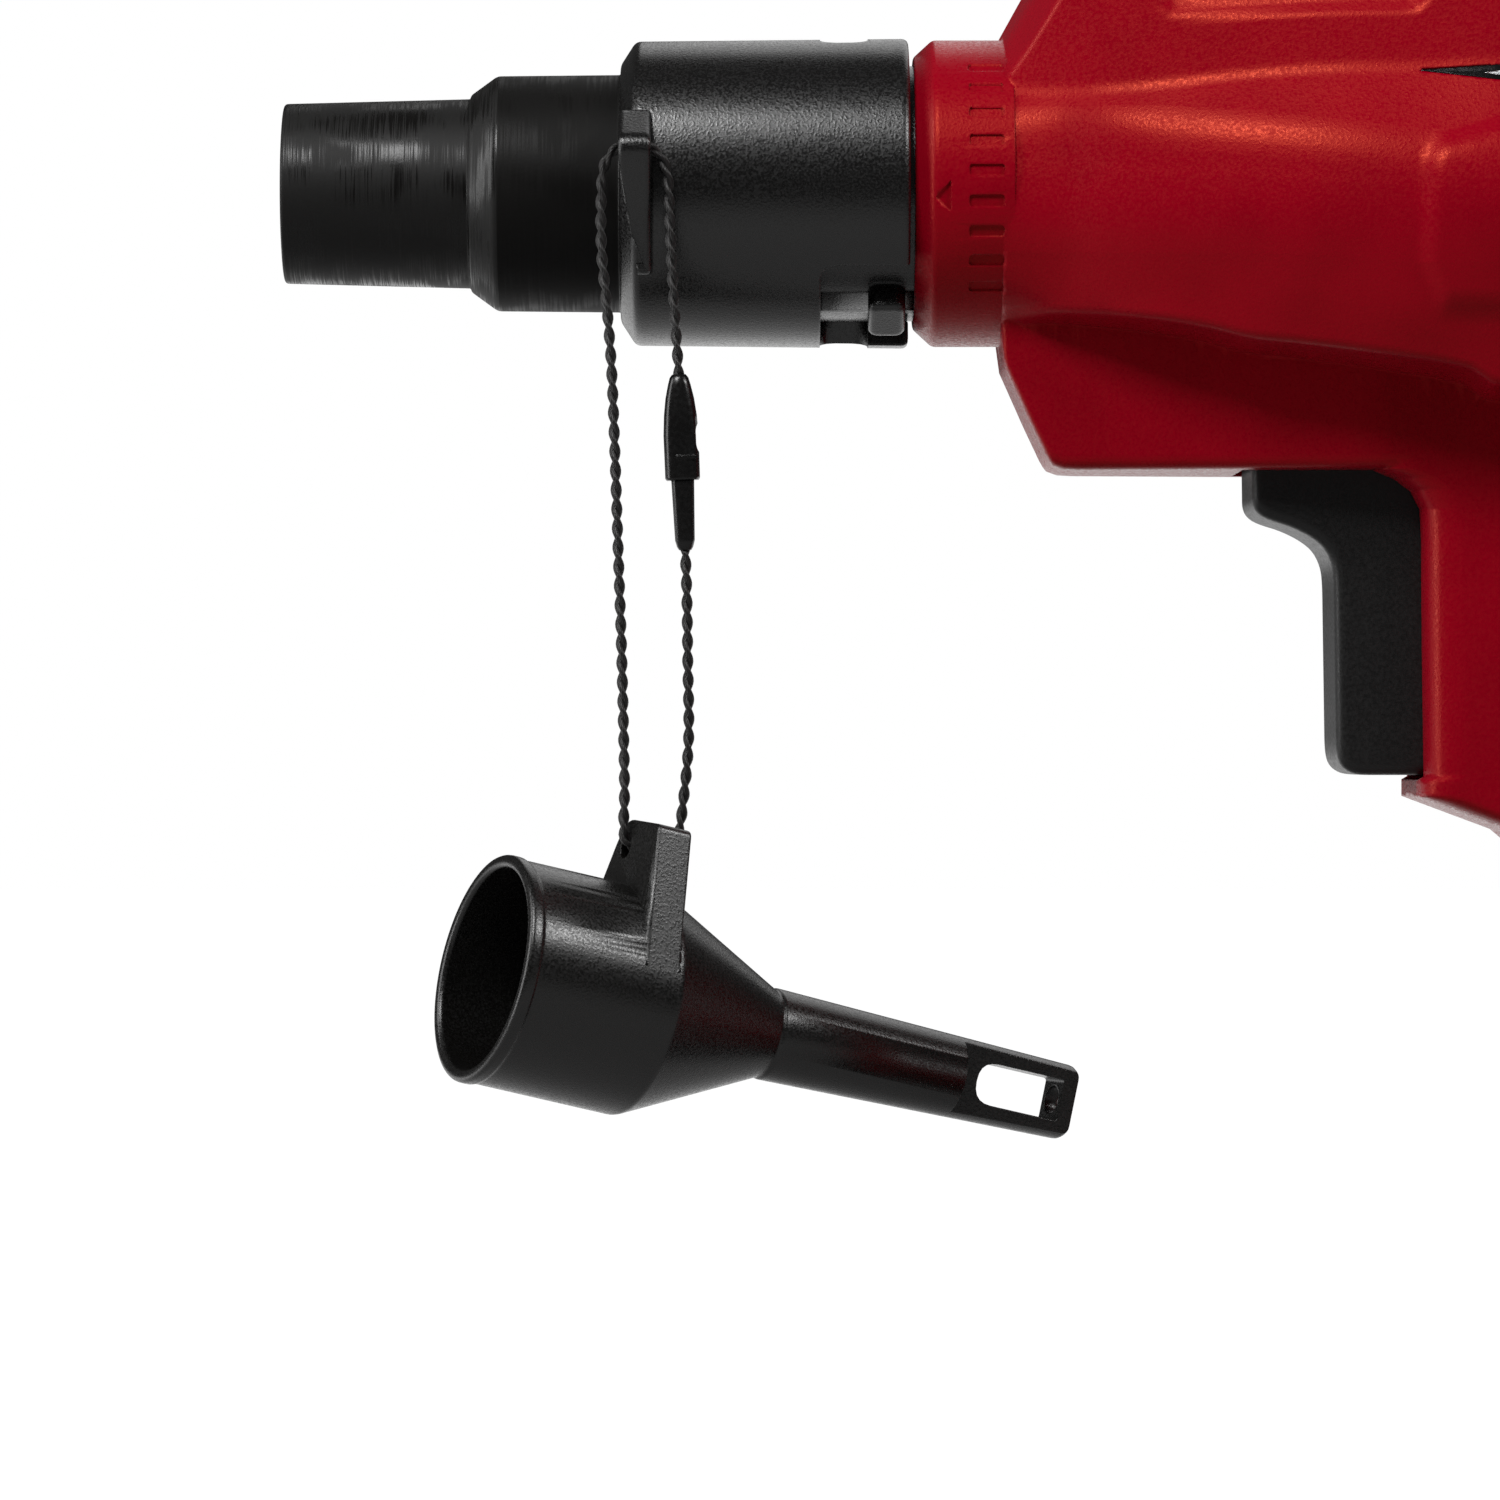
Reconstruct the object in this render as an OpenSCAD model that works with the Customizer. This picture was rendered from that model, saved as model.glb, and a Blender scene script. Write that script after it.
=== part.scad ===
/* [Nozzle adapter] */
// Length of the wide collar
collar_len = 35.8; // [34:0.1:38]
// Outer radius of the collar at its front
collar_r = 18.95; // [18.7:0.05:19.4]
// Length of the second step
step2_len = 15.4; // [12:0.2:20]
// Outer radius of the second step
step2_r = 14.8; // [14:0.1:15.6]
// Length of the cone between the steps
step_cone_len = 3.4; // [2:0.1:5]
// Length of the slim front step
step1_len = 23.2; // [18:0.2:28]
// Outer radius of the adapter's tip
tip_r = 11.25; // [10.6:0.05:11.6]
// Radius of the outlet bore in the tip
tip_bore_r = 9; // [8.2:0.1:9.6]
// Thickness of the cord wing along the axis
wing_t = 4; // [3:0.2:5]
// Radius of the cord holes
cord_hole_r = 1.3; // [1.2:0.05:1.4]

/* [Outlet spigot] */
// Outer radius of the outlet and intake spigots
spigot_r = 15.9; // [15.5:0.05:16]
// Wall of both spigots
spigot_wall = 2.5; // [1.8:0.1:3]
// Length of the outlet spigot in front of the ring
spigot_len = 22.8; // [20:0.2:24]
// Radial gap between the spigot and the adapter
spigot_gap = 0.3; // [0.2:0.05:0.4]
// Width of a bayonet pin
pin_w = 7.2; // [6:0.1:8]
// Length of a bayonet pin along the axis
pin_len = 5.8; // [4.5:0.1:6]

/* [Valve adapter] */
// Outer radius of the cup
cup_r = 14.1; // [13.5:0.1:14.6]
// Wall of the cup at its mouth
cup_wall = 1.6; // [1.2:0.1:2]
// Length of the cup
cup_len = 20.5; // [18:0.5:24]
// Length of the cone behind the cup
cone_len = 18.3; // [14:0.5:22]
// Length of the stem
stem_len = 41.8; // [38:0.5:46]
// Radius of the stem at its root
stem_root_r = 5.8; // [5.4:0.1:6.4]
// Radius of the stem at its tip
stem_tip_r = 4.6; // [4.4:0.1:5.2]
// Height of the window through the stem
window_h = 4.5; // [4:0.1:5]
// Length of the window through the stem
window_len = 11.2; // [9:0.2:13]
// Thickness of the cord lug
lug_t = 4.1; // [3:0.1:5]

/* [Housing] */
// Wall of the housing shells
wall = 2.6; // [2.2:0.1:3]
// Half width of the barrel
barrel_hw = 34; // [33:0.5:37]
// Half width of the lower fairing in front of the grip
fairing_hw = 17; // [16:0.5:18]
// Half width of the fairing under the pump
pump_cover_hw = 22; // [21:0.5:24]
// Height of the barrel's top above the air axis
barrel_top = 44; // [43.5:0.25:46]
// Outer radius of the front and rear rings
ring_r = 19.1; // [18.8:0.05:19.6]
// Length of the front ring
ring_len = 11; // [10:0.5:12]
// Half width of the grip
grip_hw = 17; // [16:0.5:19]
// Radius of the screw bosses
boss_r = 3.8; // [3.4:0.1:4.2]
// Thickness of the inner ribs
rib_t = 2; // [1.4:0.1:2.4]

/* [Trigger] */
// Width of the trigger
trigger_w = 20; // [16:0.5:21]
// Travel of the trigger
trigger_travel = 6; // [4:0.5:6]
// Gap between the trigger and its slot
trigger_gap = 0.4; // [0.3:0.05:0.6]

/* [Fan and motor] */
// Radius of the impeller
fan_r = 18; // [16:0.5:18.4]
// Number of impeller blades
fan_blades = 9; // [6:1:12]
// Radius of the motor can
motor_r = 18; // [17:0.5:19]
// Radius of the motor shaft
shaft_r = 1.6; // [1.5:0.1:1.8]

/* [High-pressure pump] */
// Bore radius of the cylinder
bore_r = 10; // [9:0.2:10.4]
// Throw of the crank, half the piston's stroke
crank_throw = 6; // [4:0.5:6]
// Length of the rod between its centres
rod_len = 32; // [31:0.5:32]
// Teeth of the pinion
pinion_teeth = 10; // [10:1:12]
// Teeth of the crank gear
gear_teeth = 41; // [39:1:41]
// Gear module
gear_m = 0.7; // [0.66:0.01:0.7]
// Thread core radius of the hose port
port_bore_r = 4.28; // [4:0.02:4.4]

/* [Display] */
// Length of the display window
lens_len = 32; // [24:1:34]
// Width of the display window
lens_w = 24; // [18:1:28]
// Radius of the buttons
button_r = 3.5; // [3:0.1:4]
// Spacing of the buttons
button_pitch = 10; // [9:0.5:12]
// Travel of the buttons
button_travel = 0.8; // [0.4:0.1:0.8]

/* [Battery] */
// Height of the pack's lower case
pack_low_h = 46; // [45:0.5:47]
// Wall of the pack's cases
pack_wall = 2.2; // [1.8:0.1:2.4]
// Radius of a cell
cell_r = 9.1; // [8.8:0.05:9.2]
// Length of a cell
cell_len = 65; // [60:0.5:66]
// Travel of the release button
release_travel = 3; // [2:0.25:3.25]

/* [Hidden] */
$fn = 72;
eps = 0.01;

// Heights above the table, from the battery up to the air axis; the foot is foot_low from the axis
foot_low = -143;
pack_top = pack_low_h + 13.7;
foot_bottom = pack_top + 0.3;
axis_z = foot_bottom - foot_low;

// Stations along the air axis, X, from the front ring back
ring_x = -127.2;
collar_back_x = ring_x - 0.6;
collar_x = collar_back_x - collar_len;
step2_x = collar_x - step2_len;
step1_x = step2_x - step_cone_len;
tip_x = step1_x - step1_len;
nose_x = ring_x + ring_len;

// Outlines of the barrel: side (x, z), front (y, z) and plan (x, y), z from the air axis
barrel_back = 20;
intake_end_x = 50;
barrel_side = [[nose_x - 0.3, -18.5], [-109.6, -15.8], [-96.9, -16.3], [-78.8, -19.4], [-57.5, -22.5],
  [-53.8, -24.6], [-20, -28], [17, -28], [barrel_back, -25], [barrel_back, 22], [8, barrel_top - 3],
  [0, barrel_top], [-102.4, barrel_top], [nose_x - 0.2, 19.2]];
barrel_front = both_sides([[barrel_hw - 8, -28], [barrel_hw - 6.5, -27], [barrel_hw - 2.5, -16],
  [barrel_hw, -3], [barrel_hw - 0.5, 4], [barrel_hw - 5, 18], [barrel_hw - 11, barrel_top - 4],
  [barrel_hw - 13, barrel_top]]);
// Plan of the wide band below the shoulder, and of the narrower flanks above it
shoulder_z = 11;
barrel_plan = ahead([[nose_x - 0.5, 18.9], [-102.4, 23.8], [-85, barrel_hw - 4.4], [-71, barrel_hw - 1.6],
  [-46, barrel_hw], [4, barrel_hw], [barrel_back + 0.2, 27]]);
flank_plan = ahead([[nose_x - 0.5, 15], [-102.4, 20.3], [-85, 24], [-71, 26.8], [-54, barrel_hw - 5],
  [-20, barrel_hw - 2], [4, barrel_hw - 2], [barrel_back + 0.2, 26.5]]);
fairing_side = [[nose_x, -10], [nose_x - 0.3, -20.7], [-112.9, -29], [-110.4, -33.5], [-108, -35],
  [17, -35], [barrel_back, -31], [barrel_back, -10]];
fairing_plan = ahead([[nose_x - 0.5, 10.5], [-70, fairing_hw], [-24, fairing_hw], [-14, pump_cover_hw],
  [17, pump_cover_hw], [barrel_back + 0.2, pump_cover_hw - 2]]);

// Size of the battery pack: five cells side by side in each of two rows
cell_pitch = 2 * cell_r + 0.3;
cell_end = 5.5;
pack_len = 5 * cell_pitch + 12.5;
pack_w = cell_len + 2 * cell_end;
pack_x = 2.5;
pack_x0 = pack_x - pack_len / 2;
pack_x1 = pack_x + pack_len / 2;

// Outlines of the grip and the foot
grip_side = concat([[-69.9, -20]], arc(-69.9, -41.5, 6.5, 90, 0, 6),
  [[-63.2, -75.8], [-53.8, -79.5], [-48.5, -84], [-46, -92], [-45, -118], [-47, -138],
  [-2, -138], [-8, -106], [-13, -80], [-13, -58], [-8, -46], [0, -36], [0, -20]]);
grip_waist_z = -84;
foot_x0 = pack_x0;
foot_x1 = pack_x1 - 0.5;
foot_side = [[foot_x0, foot_low], [foot_x1, foot_low], [foot_x1, -133], [foot_x1 - 8, -129], [4, -124],
  [-44, -124], [foot_x0 + 0.5, -130]];
foot_hw = pack_w / 2 - 2;
foot_front = both_sides([[foot_hw, foot_low], [foot_hw, -133], [24, -124]]);

// Screws that join the halves: x, z, reach of the boss
screws = [[-98, 34], [-66, 36], [9, 33], [-98, -28], [-21, -28], [-20, -72], [-29, -108], [pack_x + 46, -137]];
screw_r = 1.5;
screw_head_r = 3;
screw_head_y = 9;
screw_tip_y = -10;

// Trigger outline, z from the air axis
trigger_x = -86.1;
trigger_top = -31.5;
trigger_back = -56;
trigger_side = concat([[trigger_back, trigger_top], [trigger_x, trigger_top]],
  arc(trigger_x + 3, -38.4, 3, 180, 250, 4), arc(-84.5, -50.3, 8.6, 74, 8, 6),
  arc(-72.6, -69.6, 3, 180, 270, 5), [[trigger_back, -72.6]]);
switch_x = trigger_back + trigger_travel + 0.5;

// Fan, motor and pump stations along X
duct_r = fan_r + 3;
duct_front_x = nose_x + 5.3;
fan_x = -75;
motor_x = -52;
motor_back = -10;
gear_x = -7.5;
gear_t = 5;
pinion_r = gear_m * pinion_teeth / 2;
gear_r = gear_m * gear_teeth / 2;
gear_z = pinion_r + gear_r + 0.05;
rod_x = 1.5;
rod_t = 3;
cylinder_x = rod_x + rod_t / 2;
cylinder_r = bore_r + 2;
deck_z = -24;
wrist_z = gear_z - crank_throw - rod_len;
port_r = 5;
port_z = -27.6;
port_collar_y = 27;

// Display and board
board_z = 34.2;
lens_x = -36;
button_x = -12;

// Battery
tongue_top = foot_bottom + 7.5;
lip_z = foot_bottom + 3.5;
tongue_hw = 22.5;
tongue_neck_hw = 20;
tongue_x0 = pack_x - 46;
tongue_x1 = pack_x + 24;
release_hw = 13;
release_seat = 34;
release_low = 38;
pocket_x = 4.5;
pack_boss = [pack_len / 2 - 6.1, pack_w / 2 - 3.3];
pack_boss_r = 2.1;
cells_x = [for (k = [-2 : 2]) pack_x + 1 + k * cell_pitch];
cells_z = [pack_wall + cell_r + 0.6, pack_wall + 3 * cell_r + 1.6];
holder_top = cells_z[1] + cell_r + 0.4;
holder_out = cell_len / 2 + 1.5;
holder_t = 4;
board_low = holder_top + 0.4;
board_hw = pack_w / 2 - 4.5;
board_t = 1.6;
blade_y = [-12, 0, 12];
contact_x = pack_x + 14;
terminal_x1 = pack_x + 39.6;

// Route of the tether cord, laid by hand: x, y, height from the air axis
cord_r = 0.75;
wing_hole = [-20.9, 4.2];
clasp_lean = -2.1;
cord_route = [[-156.2, -21, -23.7], [-156.5, -21, -19], [-156.9, -21, -13], [-157.2, -21, -7],
  [-157.4, -20.9, -2], [-157.7, -20.9, 1.3], [-158.8, -20.9, 3.4], [-160.2, -20.9, 4.3],
  [-161.6, -20.9, 4.6], [-163, -20.9, 4.3], [-164.4, -20.9, 3.4], [-165.4, -20.9, 1.4],
  [-165.7, -20.9, -3], [-165.6, -20.9, -9], [-165, -21, -15], [-164.4, -21, -23],
  [-164, -21, -33], [-163.6, -21, -45], [-163.2, -21.2, -56.5], [-162.9, -21.6, -68.3],
  [-162.8, -22.1, -74.7], [-162.9, -22.2, -78.2], [-162.8, -22.2, -80], [-161.8, -21.8, -81.4],
  [-160.1, -21.1, -82], [-158.4, -20.4, -82.3], [-157.2, -19.8, -81.6], [-156.3, -19.5, -79.9],
  [-155.7, -19.7, -76.2], [-155, -20.2, -68.3], [-155.1, -20.8, -58.5], [-155.2, -21, -51],
  [-155.4, -21, -45.1]];

// Pose of the valve adapter as it hangs: mouth centre and turns
valve_at = [-179.9, -30.4, axis_z - 95.8];
valve_pitch = 12.8;
valve_yaw = 24;
lug_angle = 40;

colors_red = "#a3001a";
colors_black = "#1d1b1b";

function arc(cx, cy, r, a0, a1, n) =
  [for (i = [0 : n]) let(a = a0 + (a1 - a0) * i / n) [cx + r * cos(a), cy + r * sin(a)]];
function turned_back(pts) = [for (i = [len(pts) - 1 : -1 : 0]) pts[i]];
// An outline from its half on the +Y side: (y, z) points going up, or (x, y) points going back
function both_sides(half) = concat(half, [for (p = turned_back(half)) [-p[0], p[1]]]);
function ahead(half) = concat([for (p = half) [p[0], -p[1]]], turned_back(half));
function unit(v) = v / norm(v);
function left_of(v) = [-v[1], v[0]];
// A counter-clockwise outline moved inwards by d
function inset(pts, d) = [for (i = [0 : len(pts) - 1]) let(
  n = len(pts),
  a = left_of(unit(pts[i] - pts[(i + n - 1) % n])),
  b = left_of(unit(pts[(i + 1) % n] - pts[i])))
  pts[i] + (a + b) * d / (1 + a * b)];
function rounded(x0, x1, y0, y1, r) = concat(arc(x1 - r, y1 - r, r, 0, 90, 6),
  arc(x0 + r, y1 - r, r, 90, 180, 6), arc(x0 + r, y0 + r, r, 180, 270, 6),
  arc(x1 - r, y0 + r, r, 270, 360, 6));
function gear_outline(teeth, phase) = [for (i = [0 : teeth - 1], k = [0 : 3])
  let(p = 360 / teeth, r = gear_m * teeth / 2,
    a = phase + i * p + [-0.27, -0.13, 0.13, 0.27][k] * p,
    q = r + [-1.05, 0.8, 0.8, -1.05][k] * gear_m) [q * cos(a), q * sin(a)]];

// A solid of revolution about the air axis; outline points are (x, radius)
module about_axis(pts) {
  translate([0, 0, axis_z]) rotate([0, 90, 0]) rotate([0, 0, 180])
    rotate_extrude() polygon([for (p = pts) [p[1], p[0]]]);
}
module along_x(x0, x1, r, y = 0, z = 0) {
  translate([x0, y, axis_z + z]) rotate([0, 90, 0]) cylinder(h = x1 - x0, r = r);
}
module along_y(y0, y1, r, x, z) {
  translate([x, y0, axis_z + z]) rotate([-90, 0, 0]) cylinder(h = y1 - y0, r = r);
}
// A flat outline (x, z) given a thickness across Y
module across(pts, y0, y1) {
  translate([0, y1, axis_z]) rotate([90, 0, 0]) linear_extrude(y1 - y0) polygon(pts);
}
// A flat outline (y, z) given a length along X
module forward(pts, x0, x1, z = axis_z) {
  translate([x0, 0, z]) rotate([90, 0, 90]) linear_extrude(x1 - x0) polygon(pts);
}
module upright(pts, z0, z1) {
  translate([0, 0, z0]) linear_extrude(z1 - z0) polygon(pts);
}
module block(x0, x1, y0, y1, z0, z1) {
  translate([x0, y0, z0]) cube([x1 - x0, y1 - y0, z1 - z0]);
}
// A round wire swept along a list of points
module sweep(path, r, sides) {
  n = len(path);
  rings = [for (i = [0 : n - 1]) let(
    t = unit(path[min(i + 1, n - 1)] - path[max(i - 1, 0)]),
    s = unit(cross(t, abs(t[1]) < 0.9 ? [0, 1, 0] : [1, 0, 0])),
    u = cross(t, s))
    for (k = [0 : sides - 1]) path[i] + r * (cos(360 * k / sides) * s + sin(360 * k / sides) * u)];
  faces = concat([[for (k = [0 : sides - 1]) k]],
    [[for (k = [0 : sides - 1]) n * sides - 1 - k]],
    [for (i = [0 : n - 2], k = [0 : sides - 1]) let(a = i * sides, b = (k + 1) % sides)
      [a + k, a + sides + k, a + sides + b]],
    [for (i = [0 : n - 2], k = [0 : sides - 1]) let(a = i * sides, b = (k + 1) % sides)
      [a + k, a + sides + b, a + b]]);
  polyhedron(rings, faces);
}
// Points of a coil spring about X or Z
function coil(r, length, turns) = [for (i = [0 : turns * 8])
  [r * cos(45 * i), r * sin(45 * i), length * i / (turns * 8)]];

// Outer form of the body, moved inwards by i
module barrel_form(i) {
  intersection() {
    across(inset(barrel_side, i), -barrel_hw - 5, barrel_hw + 5);
    forward(inset(barrel_front, i), nose_x - 5, barrel_back + 5);
    union() {
      upright(inset(barrel_plan, i), axis_z - 40, axis_z + shoulder_z - i);
      upright(inset(flank_plan, i), axis_z - 40, axis_z + barrel_top + 5);
    }
  }
  intersection() {
    across(inset(fairing_side, i), -pump_cover_hw - 5, pump_cover_hw + 5);
    upright(inset(fairing_plan, i), axis_z - 40, axis_z);
  }
}
module grip_form(i) {
  intersection() {
    across(inset(grip_side, i), -grip_hw, grip_hw);
    union() {
      upright(rounded(-72 + i, -10 - i, i - grip_hw, grip_hw - i, 8), axis_z + grip_waist_z, axis_z);
      upright(rounded(-50 + i, -1 - i, i - grip_hw, grip_hw - i, 9), axis_z - 140, axis_z + grip_waist_z);
      block(-72, 2, i - grip_hw, grip_hw - i, axis_z - 52, axis_z);
    }
  }
}
module foot_form(i) {
  intersection() {
    across(inset(foot_side, i), -foot_hw, foot_hw);
    forward(inset(foot_front, i), foot_x0 - 5, foot_x1 + 5);
    upright(rounded(foot_x0 + i, foot_x1 - i, i - foot_hw, foot_hw - i, 8), foot_bottom - 5, axis_z - 100);
  }
}
module body_form(i) {
  barrel_form(i);
  grip_form(i);
  foot_form(i);
}
// Skin between two depths below the surface, within an outline on one side
module skin_patch(pts, from, to, side) {
  intersection() {
    across(pts, side < 0 ? -50 : 5, side < 0 ? -5 : 50);
    difference() {
      body_form(from);
      body_form(to);
    }
  }
}
badge_outline = [[-64, 15.7], [-20, 8], [8, 6], [13, 14], [10, 23.5]];
recess_outline = rounded(-96, -62.6, 22.8, 38, 3);
pad_outline = [[-30, -118], [4, -118], [4, -44], [-16, -44], [-26, -60]];

// A cross wall of the barrel with a round seat
module rib(x, seat_r) {
  difference() {
    block(x, x + rib_t, -barrel_hw, barrel_hw, axis_z - 36, axis_z + board_z - 0.2);
    along_x(x - 1, x + rib_t + 1, seat_r);
  }
}
module housing_shell() {
  difference() {
    union() {
      body_form(0);
      about_axis([[nose_x + 1, 0], [nose_x + 1, ring_r], [ring_x + 2.4, ring_r], [ring_x, ring_r - 2.2],
        [ring_x, 0]]);
      along_x(barrel_back - 1, barrel_back + 8, ring_r);
    }
    difference() {
      body_form(wall);
      for (s = screws)
        along_y(-barrel_hw, barrel_hw, boss_r, s[0], s[1]);
      block(foot_x0, foot_x1, -foot_hw, foot_hw, foot_bottom, foot_bottom + 10.5);
      rib(-72, duct_r + 0.2);
      rib(-46, motor_r + 0.2);
      rib(-18, motor_r + 0.2);
      for (x = [-47, -31])
        difference() {
          block(x, x + rib_t, -grip_hw, grip_hw, axis_z - 74, axis_z - 36);
          block(x - 1, x + rib_t + 1, -9.3, 9.3, axis_z - 70.3, axis_z - 30);
        }
    }
    // Seats of the two spigots and their flanges
    along_x(ring_x - 1, nose_x + 5, spigot_r + 0.05);
    along_x(nose_x + 3.1, nose_x + 5.3, spigot_r + 1.85);
    along_x(barrel_back - 6, barrel_back + 9, spigot_r + 0.05);
    along_x(barrel_back - 4.7, barrel_back - 2.5, spigot_r + 1.85);
    // Seat of the fan duct
    about_axis([[duct_front_x, 0], [duct_front_x, spigot_r + 1.75], [-80, duct_r + 0.15], [-57.8, duct_r + 0.15],
      [-57.8, 0]]);
    // Trigger opening through the fairing and the front of the grip
    block(trigger_x - 0.5, -50, -trigger_w / 2 - trigger_gap, trigger_w / 2 + trigger_gap,
      axis_z - 73.2, axis_z - 30);
    // Slide way of the battery, open to the front and below
    block(foot_x0 - 0.5, terminal_x1 + 0.4, -tongue_neck_hw - 0.4, tongue_neck_hw + 0.4, foot_bottom - 1, tongue_top + 0.4);
    block(foot_x0 - 0.5, terminal_x1 + 0.4, -tongue_hw - 0.4, tongue_hw + 0.4, lip_z - 0.4, tongue_top + 0.4);
    // Windows of the display and the buttons
    block(lens_x - lens_len / 2 - 0.1, lens_x + lens_len / 2 + 0.1, -lens_w / 2 - 0.1, lens_w / 2 + 0.1,
      axis_z + 36, axis_z + barrel_top + 1);
    for (k = [-1 : 1])
      translate([button_x, k * button_pitch, axis_z + 36]) cylinder(h = 20, r = button_r + 0.3);
    along_y(0, 40, port_r + 0.3, cylinder_x, port_z);
    along_y(port_collar_y - 0.1, 40, port_r + 1.2, cylinder_x, port_z);
    for (side = [-1, 1]) {
      skin_patch(inset(badge_outline, -0.05), -0.5, 1.25, side);
      skin_patch(recess_outline, -0.5, 0.8, side);
    }
    intersection() {
      across(inset(pad_outline, -0.05), -20, 20);
      difference() {
        grip_form(-0.5);
        grip_form(1.25);
      }
    }
  }
}
module housing_left() {
  color(colors_red) difference() {
    intersection() {
      housing_shell();
      block(-150, 80, -60, 0, foot_bottom - 5, axis_z + barrel_top + 5);
    }
    for (s = screws)
      along_y(screw_tip_y - 1, 1, screw_r - 0.02, s[0], s[1]);
  }
}
module housing_right() {
  color(colors_red) difference() {
    intersection() {
      housing_shell();
      block(-150, 80, 0, 60, foot_bottom - 5, axis_z + barrel_top + 5);
    }
    for (s = screws) {
      along_y(-1, screw_head_y + 1, screw_r + 0.3, s[0], s[1]);
      along_y(screw_head_y, 60, screw_head_r + 0.4, s[0], s[1]);
    }
  }
}
module housing_screws() {
  color("#8a8c90") for (s = screws) difference() {
    union() {
      along_y(screw_tip_y, screw_head_y + 0.5, screw_r - 0.05, s[0], s[1]);
      along_y(screw_head_y + 0.02, screw_head_y + 2.2, screw_head_r, s[0], s[1]);
    }
    along_y(screw_head_y + 0.8, screw_head_y + 3, 1.2, s[0], s[1]);
  }
}

// Two bayonet pins on opposite sides, 61 degrees below and above the level
module bayonet_pins(x0, x1) {
  for (turn = [0, 180])
    translate([0, 0, axis_z]) rotate([61 + turn, 0, 0])
      translate([x0, -ring_r + 0.1, -pin_w / 2]) cube([x1 - x0, ring_r - spigot_r + 0.8, pin_w]);
}
module outlet_spigot() {
  flange_x = nose_x + 3.2;
  color(colors_black) {
    about_axis([[ring_x - spigot_len, spigot_r - 0.6], [ring_x - spigot_len + 0.6, spigot_r],
      [ring_x - 19, spigot_r], [ring_x - 19, spigot_r - 1.5], [ring_x - 17, spigot_r - 1.5],
      [ring_x - 17, spigot_r], [flange_x, spigot_r], [flange_x, spigot_r + 1.8],
      [flange_x + 2, spigot_r + 1.8], [flange_x + 2, spigot_r - spigot_wall],
      [ring_x - spigot_len, spigot_r - spigot_wall]]);
    bayonet_pins(ring_x - 0.1 - pin_len, ring_x - 0.1);
  }
}
module spigot_seal() {
  color("#111111") about_axis(arc(ring_x - 18, spigot_r - 0.6, 0.85, 0, 345, 23));
}
module nozzle_adapter() {
  in_r = spigot_r + spigot_gap;
  shoulder = ring_x - spigot_len - 0.8;
  color(colors_black) difference() {
    union() {
      about_axis([[tip_x, tip_bore_r], [tip_x, tip_r - 0.4], [tip_x + 0.4, tip_r],
        [step1_x, tip_r + 0.55], [step1_x + 0.4, tip_r + 2.3], [step2_x, step2_r - 0.3],
        [step2_x + 0.4, step2_r], [collar_x, step2_r], [collar_x, collar_r - 4.6],
        [collar_x + 1.8, collar_r], [collar_back_x - 0.5, collar_r + 0.35],
        [collar_back_x, collar_r - 0.1], [collar_back_x, in_r], [shoulder, in_r],
        [shoulder, 12.6], [step2_x + 2, 12.6], [step1_x + 1, tip_bore_r]]);
      forward([[-16.3, -9.8], [-24.4, 3.9], [-24.1, 4.8], [-17.4, 8.9], [-14, 4]], collar_x, collar_x + wing_t);
    }
    // L-shaped bayonet slots, open at the collar's rear edge
    for (turn = [0, 180]) translate([0, 0, axis_z]) rotate([turn, 0, 0]) {
      slot_sector(collar_back_x - 11, collar_back_x - 5, -33.6, -103);
      slot_sector(collar_back_x - 6, collar_back_x + 1, -33.6, -82);
    }
    along_x(collar_x - 1, collar_x + wing_t + 1, cord_hole_r, wing_hole[0], wing_hole[1]);
  }
}
// A wedge from the axis between two angles, measured up from the level near side
module slot_sector(x0, x1, a0, a1) {
  reach = 30;
  translate([x0, 0, 0]) rotate([90, 0, 90]) linear_extrude(x1 - x0)
    polygon([[0, 0], [-reach * cos(a0), reach * sin(a0)],
      [-reach * cos((a0 + a1) / 2), reach * sin((a0 + a1) / 2)], [-reach * cos(a1), reach * sin(a1)]]);
}
module tether_cord() {
  color("#151414") translate([0, 0, axis_z]) sweep(cord_route, cord_r, 8);
}
// The clasp hangs on the cord, a little off the upright; up is measured from its lower end
module on_clasp(up) {
  translate([0, 0, axis_z]) translate(cord_route[len(cord_route) - 1]) rotate([0, clasp_lean, 0]) translate([0, 0, up]) children();
}
module clasp_socket() {
  color(colors_black) on_clasp(8.55) difference() {
    rotate([90, 0, 0]) translate([0, 0, -1.9]) linear_extrude(3.8)
      polygon([[-2.1, 0], [2.1, 0], [2.1, 6], [1.7, 11], [1.1, 12.9], [-1.1, 12.9], [-1.8, 11], [-2.1, 5]]);
    translate([0.2, -3, 5.5]) cube([1, 6, 1.6]);
    translate([-1.4, -1.2, -1]) cube([2.8, 2.4, 4]);
  }
}
module clasp_plug() {
  color(colors_black) on_clasp(0) {
    rotate([90, 0, 0]) translate([0, 0, -1.5]) linear_extrude(3)
      polygon([[-0.8, 0], [0.8, 0], [1.2, 1.4], [1.4, 8.5], [-1.4, 8.5], [-1.2, 1.4]]);
    translate([-1.2, -1, 8]) cube([2.4, 2, 3]);
  }
}
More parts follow.
